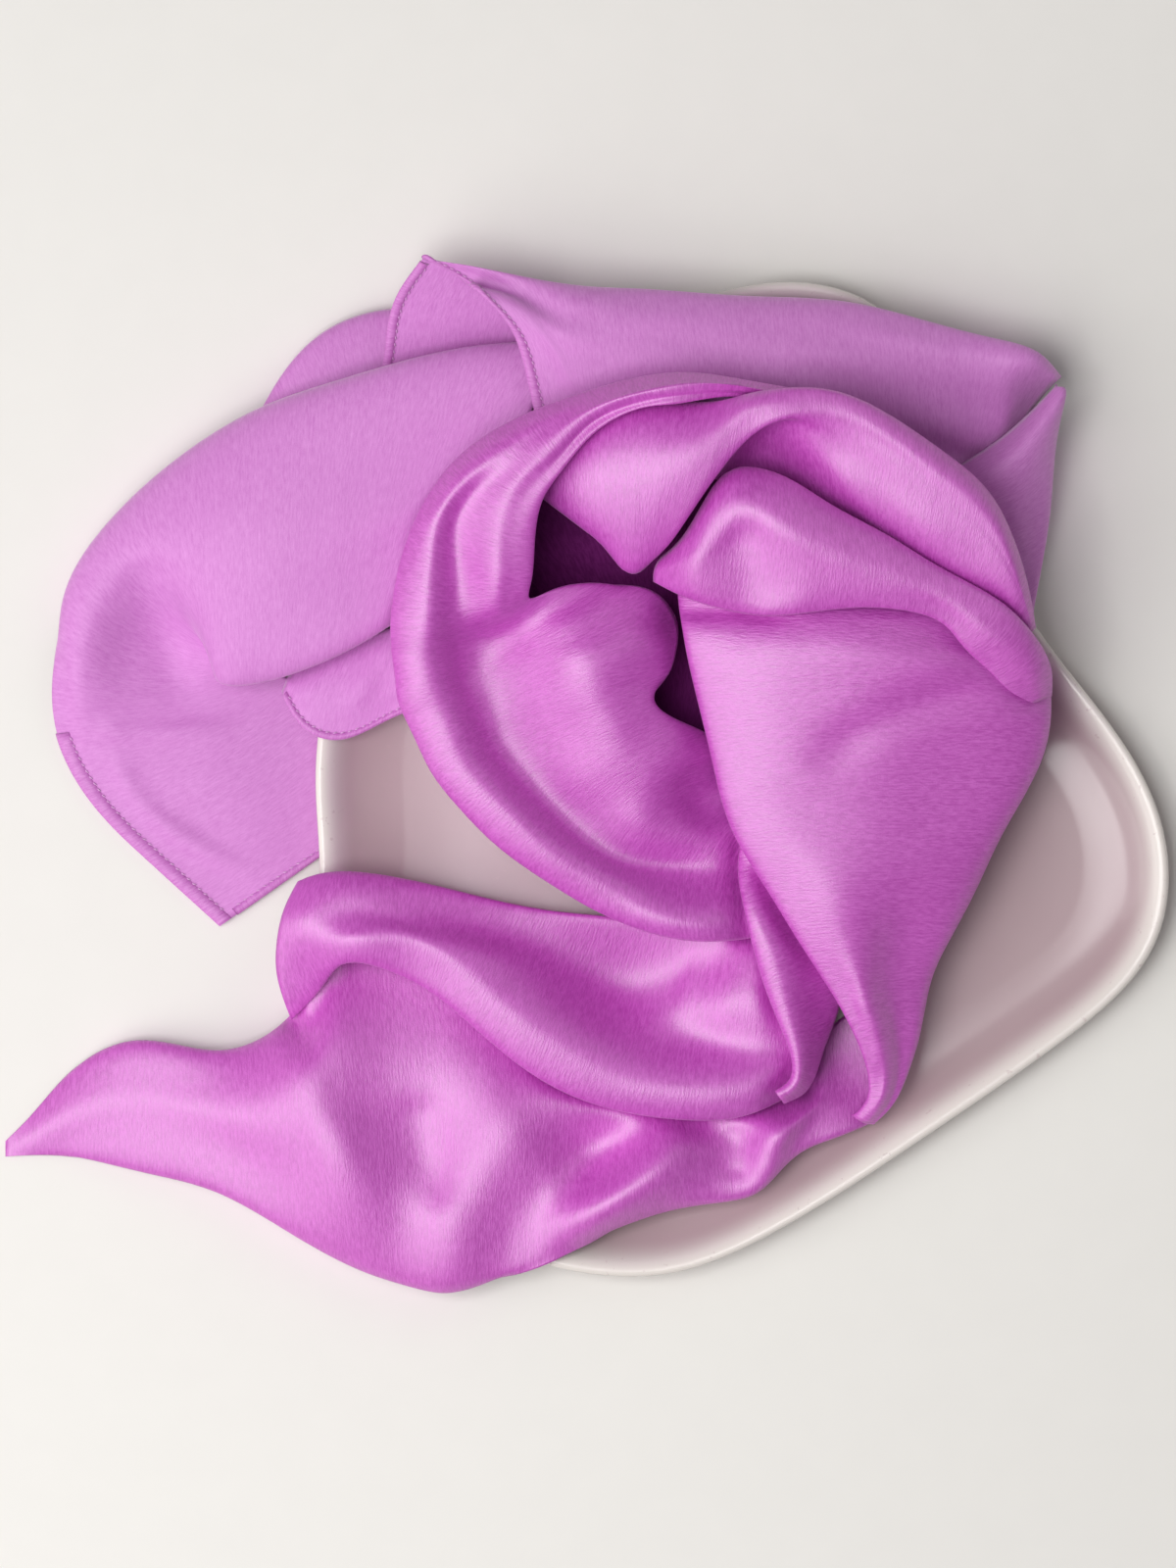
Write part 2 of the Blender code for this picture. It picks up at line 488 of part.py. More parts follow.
def upward_normals(skin):
    """Unit normals at a grid's points, midway between those of the cells that meet there, on the side
    that faces up over most of it."""
    cells = np.cross(skin[1:, 1:] - skin[:-1, :-1], skin[:-1, 1:] - skin[1:, :-1])
    cells /= np.linalg.norm(cells, axis=2, keepdims=True)
    padded = np.pad(cells, ((1, 1), (1, 1), (0, 0)), mode="edge")
    normals = padded[1:, 1:] + padded[:-1, :-1] + padded[:-1, 1:] + padded[1:, :-1]
    normals /= np.linalg.norm(normals, axis=2, keepdims=True)
    return normals if normals[:, :, 2].sum() > 0 else -normals


def wall_back(skin):
    """The skin's back, a wall's thickness inside it, or less where the two layers of a fold are close.
    It is flat where it lies on the table."""
    normals = upward_normals(skin)
    points, facing = skin.reshape(-1, 3), normals.reshape(-1, 3)
    gaps = np.linalg.norm(points[:, None] - points[None], axis=2)
    gaps[facing @ facing.T > 0] = NO_LIMIT
    wall = np.minimum(CLOTH_WALL, FOLD_SHARE * gaps.min(axis=1)).reshape(skin.shape[:2])
    back = skin - normals * wall[:, :, None]
    back[:, :, 2] = np.where(back[:, :, 2] < FLAT_UP, 0.0, back[:, :, 2])
    return back


def plan_cells(points):
    """Fractional cell numbers of points on the plan grid."""
    return (points[..., :2] + PLAN_REACH) / PLAN_CELL


def empty_map(height):
    """A map of the plan with one height all over."""
    count = int(2 * PLAN_REACH / PLAN_CELL) + 1
    return np.full((count, count), height, float)


def shifted(heights, step_x, step_y):
    """The map moved by one cell or none each way, with no limit on what it leaves."""
    moved = np.full_like(heights, NO_LIMIT)
    wide, deep = heights.shape
    to_x, to_y = slice(max(step_x, 0), wide + min(step_x, 0)), slice(max(step_y, 0), deep + min(step_y, 0))
    from_x = slice(max(-step_x, 0), wide + min(-step_x, 0))
    from_y = slice(max(-step_y, 0), deep + min(-step_y, 0))
    moved[to_x, to_y] = heights[from_x, from_y]
    return moved


def spread_down(heights, reach, slope):
    """The map lowered around every low place, rising at the slope over the reach."""
    for _ in range(math.ceil(reach / PLAN_CELL)):
        lower = heights
        for x in (-1, 0, 1):
            for y in (-1, 0, 1):
                rise = slope * PLAN_CELL * math.hypot(x, y)
                lower = np.minimum(lower, shifted(heights, x, y) + rise)
        heights = lower
    return heights


def sample(heights, points):
    """Heights of the map at points, between its cells."""
    place = np.clip(plan_cells(points), 0, np.array(heights.shape) - 1.001)
    cell = place.astype(int)
    x, y = cell[..., 0], cell[..., 1]
    right, up = np.moveaxis(place - cell, -1, 0)
    low = heights[x, y] * (1 - right) + heights[x + 1, y] * right
    high = heights[x, y + 1] * (1 - right) + heights[x + 1, y + 1] * right
    return low * (1 - up) + high * up


def lowest_map(clouds):
    """The lowest height of these points over each cell."""
    heights = empty_map(NO_LIMIT)
    for cloud in clouds:
        cell = np.rint(plan_cells(cloud)).astype(int)
        np.minimum.at(heights, (cell[:, 0], cell[:, 1]), cloud[:, 2])
    return heights


def ceiling_map(clouds):
    """The height below which a stretch passes under these points, over each cell."""
    return spread_down(spread_down(lowest_map(clouds), PRESS_MARGIN, 0.0), PRESS_REACH, PRESS_SLOPE)


def core_ceiling(clouds):
    """The height below which the core stays, over each cell: under the cloth, and lower in its pits."""
    heights = lowest_map(clouds)
    heights = np.where(heights == NO_LIMIT, CORE_PIT_UP, heights)
    return spread_down(spread_down(heights, PRESS_MARGIN, 0.0), CORE_REACH, CORE_SLOPE)


def eased(change):
    """A grid of height changes, softened twice, but never less of a change than it was."""
    for _ in range(2):
        padded = np.pad(change, 1, mode="edge")
        soft = (padded[2:, 1:-1] + padded[:-2, 1:-1] + padded[1:-1, 2:] + padded[1:-1, :-2]) / 4
        change = np.minimum(change, 0.5 * (change + soft))
    return change


def pressed(skin, ceiling, floor, low):
    """The skin kept below the ceiling map and a wall's thickness above the floor map. What lies lower
    than low stays on the table, under the dish's rim."""
    skin = skin.copy()
    change = np.minimum(sample(ceiling, skin) - AIR - skin[:, :, 2], 0)
    for inner in range(EDGE_POINTS, 0, -1):  # a turned-under edge goes down with what lies over it
        change[:, inner - 1] = np.minimum(change[:, inner - 1], change[:, inner])
        change[:, -inner] = np.minimum(change[:, -inner], change[:, -inner - 1])
    skin[:, :, 2] += eased(change)
    rest = np.where(skin[:, :, 2] < low, 0.0, sample(floor, skin))
    skin[:, :, 2] = np.maximum(skin[:, :, 2], rest + CLOTH_WALL + np.where(rest > 0, AIR, 0.0))
    return skin


def between(points, places):
    """Points along the first axis of an array, at fractional places."""
    cell = np.clip(places.astype(int), 0, len(points) - 2)
    share = (places - cell).reshape(-1, *[1] * (points.ndim - 1))
    return points[cell] * (1 - share) + points[cell + 1] * share


def filled(sides, start=0.0, stop=1.0):
    """Both sides of a share of a stretch, as points close enough to leave no cell between them."""
    finer = math.ceil(max(STEP_ALONG, STEP_ACROSS) / PLAN_CELL * 1.5)
    clouds = []
    for grid in sides:
        last = len(grid) - 1
        grid = grid[int(start * last) : math.ceil(stop * last) + 1]
        for axis in (0, 1):
            grid = np.moveaxis(grid, axis, 0)
            gaps = len(grid) - 1
            grid = between(grid, np.linspace(0, gaps, gaps * finer + 1))
            grid = np.moveaxis(grid, 0, axis)
        clouds.append(grid.reshape(-1, 3))
    return np.concatenate(clouds)


def cloth_skins(floor):
    """The front and back grids of every stretch, by name."""
    presses = list(zip(*read_table(PRESSES).values()))
    skins = {}
    for name, text in STRETCHES.items():
        over = [filled(skins[upper], start, stop) for lower, upper, start, stop in presses if lower == name]
        low = CORNER_UP if name == CORNER_STRETCH else 0.0
        skin = loft(control_net(read_table(text)))
        skin = pressed(skin, ceiling_map(over), floor, low)
        skins[name] = (skin, wall_back(skin))
    return skins


def edge_first(grid, edge):
    """The grid turned so that the named edge runs along its first column."""
    rows = {"first": grid, "last": grid[::-1], "near": grid, "far": grid[:, ::-1]}[edge]
    return np.swapaxes(rows, 0, 1) if edge in ("first", "last") else rows


def hem_skins(skin, edge, start, stop, width):
    """The upper side and underside of a hem that lies on the skin's edge."""
    rows = edge_first(np.concatenate([skin, upward_normals(skin)], axis=2), edge)
    last = len(rows) - 1
    rows = rows[round(start * last) : round(stop * last) + 1]
    steps = np.linalg.norm(np.diff(rows[:, :, :3], axis=1), axis=2)
    run = np.concatenate([np.zeros((len(rows), 1)), np.cumsum(steps, axis=1)], axis=1)
    lines = []
    for inset in (HEM_INSET, width / 2, width):
        places = [np.interp(inset, line, np.arange(len(line))) for line in run]
        lines.append([between(row, np.array([place]))[0] for row, place in zip(rows, places)])
    strip = np.swapaxes(np.array(lines), 0, 1)
    middle, normal = strip[:, :, :3], strip[:, :, 3:]
    normal = normal / np.linalg.norm(normal, axis=2, keepdims=True)
    wall = np.array([HEM_SIDE, 1.0, HEM_SIDE])[None, :, None] * HEM_WALL
    return middle + normal * (HEM_AIR + wall), middle + normal * HEM_AIR


def closed_outline(table, count):
    """Points evenly spread round a closed curve through the table's points."""
    points = np.stack([table["x"], table["y"]], axis=1)
    lap = 3
    wrapped = np.concatenate([points[-lap:], points, points[: lap + 1]])
    knots = np.concatenate([[0], np.cumsum(np.linalg.norm(np.diff(wrapped, axis=0), axis=1))])
    places = np.linspace(knots[lap], knots[lap + len(points)], count, endpoint=False)
    return spline_weights(knots, places) @ wrapped


def dish_rings():
    """The dish's rings of points, from the foot round the rim to the inner floor."""
    outline = closed_outline(read_table(DISH_OUTLINE), DISH_SPOKES)
    centre = np.array(DISH_CENTRE)
    reach = np.linalg.norm(outline - centre, axis=1, keepdims=True)
    outward = (outline - centre) / reach
    rings = []
    for inset, up in zip(*read_table(DISH_WALL).values()):
        ring = centre + outward * (reach - inset)
        rings.append(np.column_stack([ring, np.full(len(ring), up)]))
    return rings


def floor_map(rings):
    """Height of the dish's upper surface over each cell, and of the table elsewhere. The rim counts as
    wider than it is, so that the cloth passes over it clear."""
    heights = empty_map(0.0)
    centre = np.array([*DISH_CENTRE, DISH_FLOOR_UP])
    inner = [centre + (rings[-1] - centre) * share for share in np.linspace(0.95, 0, 40)]
    grid = np.array(rings[DISH_UPPER_ROW:] + inner)
    grid = np.concatenate([grid, grid[:, :1]], axis=1)
    cloud = filled([grid])
    cell = np.rint(plan_cells(cloud)).astype(int)
    np.maximum.at(heights, (cell[:, 0], cell[:, 1]), cloud[:, 2])
    raised = spread_down(-heights, RIM_MARGIN, 0.0)
    return -spread_down(raised, RIM_REACH, 1.0)


def core_rings(ceiling, floor):
    """Rings of the rounded solid that stands for the layers inside the heap, from its foot to its top."""
    table = read_table(CORE_OUTLINE)
    angle = np.linspace(0, 360, CORE_SPOKES, endpoint=False)
    reach = np.interp(angle, np.append(table["angle"], 360), np.append(table["reach"], table["reach"][0]))
    unit = np.stack([np.cos(np.radians(angle)), np.sin(np.radians(angle))], axis=1)
    shoulder = DISH_FLOOR_UP + CORE_SHOULDER_UP
    levels = [(share, DISH_FLOOR_UP + CORE_FOOT_UP) for share in CORE_FOOT_SHARES]
    for share in np.sin(np.linspace(math.pi / 2, CORE_LAST_TURN, CORE_RINGS)):
        dome = math.sqrt(1 - CORE_CROWN * share**2)
        levels.append((share, shoulder + (CORE_TOP - shoulder) * dome))
    rings = []
    for share, up in levels:
        plan = np.array(CORE_CENTRE) + unit * (reach * share)[:, None]
        ring = np.column_stack([plan, np.full(len(plan), up)])
        ring[:, 2] = np.minimum(up, sample(ceiling, ring) - CORE_AIR)
        ring[:, 2] = np.maximum(ring[:, 2], sample(floor, ring) + AIR)
        rings.append(ring)
    rings[0][:, 2] = sample(floor, rings[0]) + AIR
    return rings


def sheet_solid(front, back):
    """Points and faces of the closed body between two grids of the same size."""
    rows, columns = front.shape[:2]
    points = np.concatenate([front.reshape(-1, 3), back.reshape(-1, 3)])
    number = np.arange(rows * columns).reshape(rows, columns)
    under = number + rows * columns
    faces = []
    for i in range(rows - 1):
        for j in range(columns - 1):
            faces.append((number[i, j], number[i + 1, j], number[i + 1, j + 1], number[i, j + 1]))
            faces.append((under[i, j], under[i, j + 1], under[i + 1, j + 1], under[i + 1, j]))
    rim = [(i, 0) for i in range(rows)] + [(rows - 1, j) for j in range(1, columns)]
    rim += [(i, columns - 1) for i in range(rows - 2, -1, -1)] + [(0, j) for j in range(columns - 2, 0, -1)]
    for here, there in zip(rim, rim[1:] + rim[:1]):
        faces.append((number[here], under[here], under[there], number[there]))
    return points, faces


def ring_solid(rings, bottom, top):
    """Points and faces of the closed body over rings from its underside to its top, with a middle point
    at each end."""
    count = len(rings[0])
    points = np.concatenate(rings + [[bottom, top]])
    faces = []
    turn = [(i, (i + 1) % count) for i in range(count)]
    for level in range(len(rings) - 1):
        low, high = level * count, (level + 1) * count
        faces += [(low + here, low + there, high + there, high + here) for here, there in turn]
    last = (len(rings) - 1) * count
    faces += [(there, here, len(points) - 2) for here, there in turn]
    faces += [(last + here, last + there, len(points) - 1) for here, there in turn]
    return points, faces


def material(name, colour, roughness, sheen):
    """A plain Principled finish."""
    finish = bpy.data.materials.new(name)
    finish.use_nodes = True
    shader = finish.node_tree.nodes["Principled BSDF"]
    shader.inputs["Base Color"].default_value = (*colour, 1.0)
    shader.inputs["Roughness"].default_value = roughness
    shader.inputs["Sheen Weight"].default_value = sheen
    finish.diffuse_color = (*colour, 1.0)
    return finish


def signed_volume(mesh):
    """Volume of a closed mesh, times six, negative when it is inside out."""
    mesh.calc_loop_triangles()
    corners = np.array([[mesh.vertices[i].co for i in tri.vertices] for tri in mesh.loop_triangles])
    return float(np.einsum("ij,ij->i", corners[:, 0], np.cross(corners[:, 1], corners[:, 2])).sum())


def add_object(name, points, faces, finish):
    """One named object, in metres, with its middle in plan at the origin."""
    mesh = bpy.data.meshes.new(name)
    shift = np.array([*PLAN_MIDDLE, 0.0])
    mesh.from_pydata(((points - shift) * MM).tolist(), [], [tuple(map(int, face)) for face in faces])
    if signed_volume(mesh) < 0:
        mesh.flip_normals()
    mesh.shade_smooth()
    mesh.materials.append(finish)
    bpy.context.collection.objects.link(bpy.data.objects.new(name, mesh))


def main():
    for old in list(bpy.data.objects):
        bpy.data.objects.remove(old)
    glaze = material("glazed_dish", (0.80, 0.74, 0.72), 0.25, 0.0)
    silk = material("orchid_silk", (0.60, 0.20, 0.60), 0.42, 0.3)
    reverse = material("orchid_silk_reverse", (0.62, 0.28, 0.62), 0.6, 0.3)

    rings = dish_rings()
    floor = floor_map(rings)
    add_object("dish", *ring_solid(rings, (*DISH_CENTRE, 0.0), (*DISH_CENTRE, DISH_FLOOR_UP)), glaze)

    skins = cloth_skins(floor)
    for name, sides in skins.items():
        add_object(name, *sheet_solid(*sides), reverse if name in REVERSE_SIDE else silk)

    for name, stretch, edge, start, stop, width in zip(*read_table(HEMS).values()):
        sides = hem_skins(skins[stretch][0], edge, start, stop, width)
        add_object(name, *sheet_solid(*sides), reverse)

    core = core_rings(core_ceiling([filled(sides) for sides in skins.values()]), floor)
    add_object("core", *ring_solid(core, core[0].mean(axis=0), core[-1].mean(axis=0)), silk)


main()
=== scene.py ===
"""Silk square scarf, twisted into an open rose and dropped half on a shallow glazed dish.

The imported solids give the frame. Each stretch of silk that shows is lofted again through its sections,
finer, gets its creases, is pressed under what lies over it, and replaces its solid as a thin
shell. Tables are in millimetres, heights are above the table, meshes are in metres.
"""

import sys

import logging
import math
from dataclasses import dataclass, field
from enum import Enum
from typing import Any, Callable, Iterable, Optional, Sequence, Union

import bpy
import numpy as np
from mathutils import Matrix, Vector, noise

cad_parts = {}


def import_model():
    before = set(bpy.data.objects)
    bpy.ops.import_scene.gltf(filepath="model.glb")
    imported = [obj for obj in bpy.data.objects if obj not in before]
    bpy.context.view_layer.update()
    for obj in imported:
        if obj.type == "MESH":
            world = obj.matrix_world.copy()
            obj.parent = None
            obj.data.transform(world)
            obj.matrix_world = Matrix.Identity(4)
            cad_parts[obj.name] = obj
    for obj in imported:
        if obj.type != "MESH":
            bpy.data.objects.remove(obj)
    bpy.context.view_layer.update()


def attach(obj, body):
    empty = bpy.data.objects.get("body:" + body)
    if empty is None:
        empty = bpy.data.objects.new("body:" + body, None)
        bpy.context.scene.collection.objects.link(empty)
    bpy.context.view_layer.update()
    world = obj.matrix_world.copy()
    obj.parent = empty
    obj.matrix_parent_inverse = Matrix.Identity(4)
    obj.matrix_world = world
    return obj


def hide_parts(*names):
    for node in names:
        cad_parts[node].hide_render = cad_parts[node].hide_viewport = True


LOG = logging.getLogger("scarf")
Array = np.ndarray
Cells = dict[str, Any]
Finish = bpy.types.Material
Piece = bpy.types.Object

MM = 0.001  # metres in a millimetre
BODY = "root"
PLAN_MIDDLE = (-0.685, 3.222)  # middle of the whole object in the tables' plan
NO_LIMIT = 1000.0  # higher than anything here
TINY = 1e-9  # keeps a vector of no length from being divided by 0
LEAST_FILL = 0.31  # least share of its flat width by length that a cut fills
OFF_TABLE = 0.02  # least height of a hem or a stitch


class Side(Enum):
    """Which side of the silk a stretch shows."""

    FACE = "orchid_silk"
    REVERSE = "orchid_silk_reverse"


class Held(Enum):
    DRAPED = "draped"
    GATHERED = "gathered"
    FOLDED = "folded"
    LAID = "laid"


class Edge(Enum):
    """Which edge of a stretch a hem is sewn along."""

    FIRST = "its first section"
    LAST = "its last section"
    FAR = "the far ends of its sections"


# The stretches of the scarf that show, from the top of the heap down.

STRETCHES = """
name        side    held     rests_on
petal_upper FACE    FOLDED   silk_petal_low/silk_core
petal_low   FACE    FOLDED   silk_panel_right/silk_core
panel_right FACE    DRAPED   silk_core/glazed_dish_body
strip_mid   FACE    FOLDED   silk_roll_lower/silk_core
petal_outer FACE    GATHERED silk_roll_lower/silk_core
roll_lower  FACE    GATHERED silk_drape_low/silk_core
drape_low   FACE    DRAPED   glazed_dish_body/table_top
panel_side  REVERSE DRAPED   glazed_dish_body
band_back   REVERSE GATHERED silk_core/glazed_dish_body
drape_left  REVERSE DRAPED   silk_core/table_top
arch_inner  REVERSE FOLDED   silk_fold_back
fold_back   REVERSE FOLDED   table_top/glazed_dish_body
flap_hem    REVERSE LAID     glazed_dish_body
"""

# A stretch's table has a row for each section, which runs in plan from its near edge to its far edge.
# near and far are x/y/up. The named knots between them are inset/up: how far in from the near edge, and
# how high. turn and far_turn are radius/hang of a turned-under edge. bow is how far the middle of the
# section swings to its left.

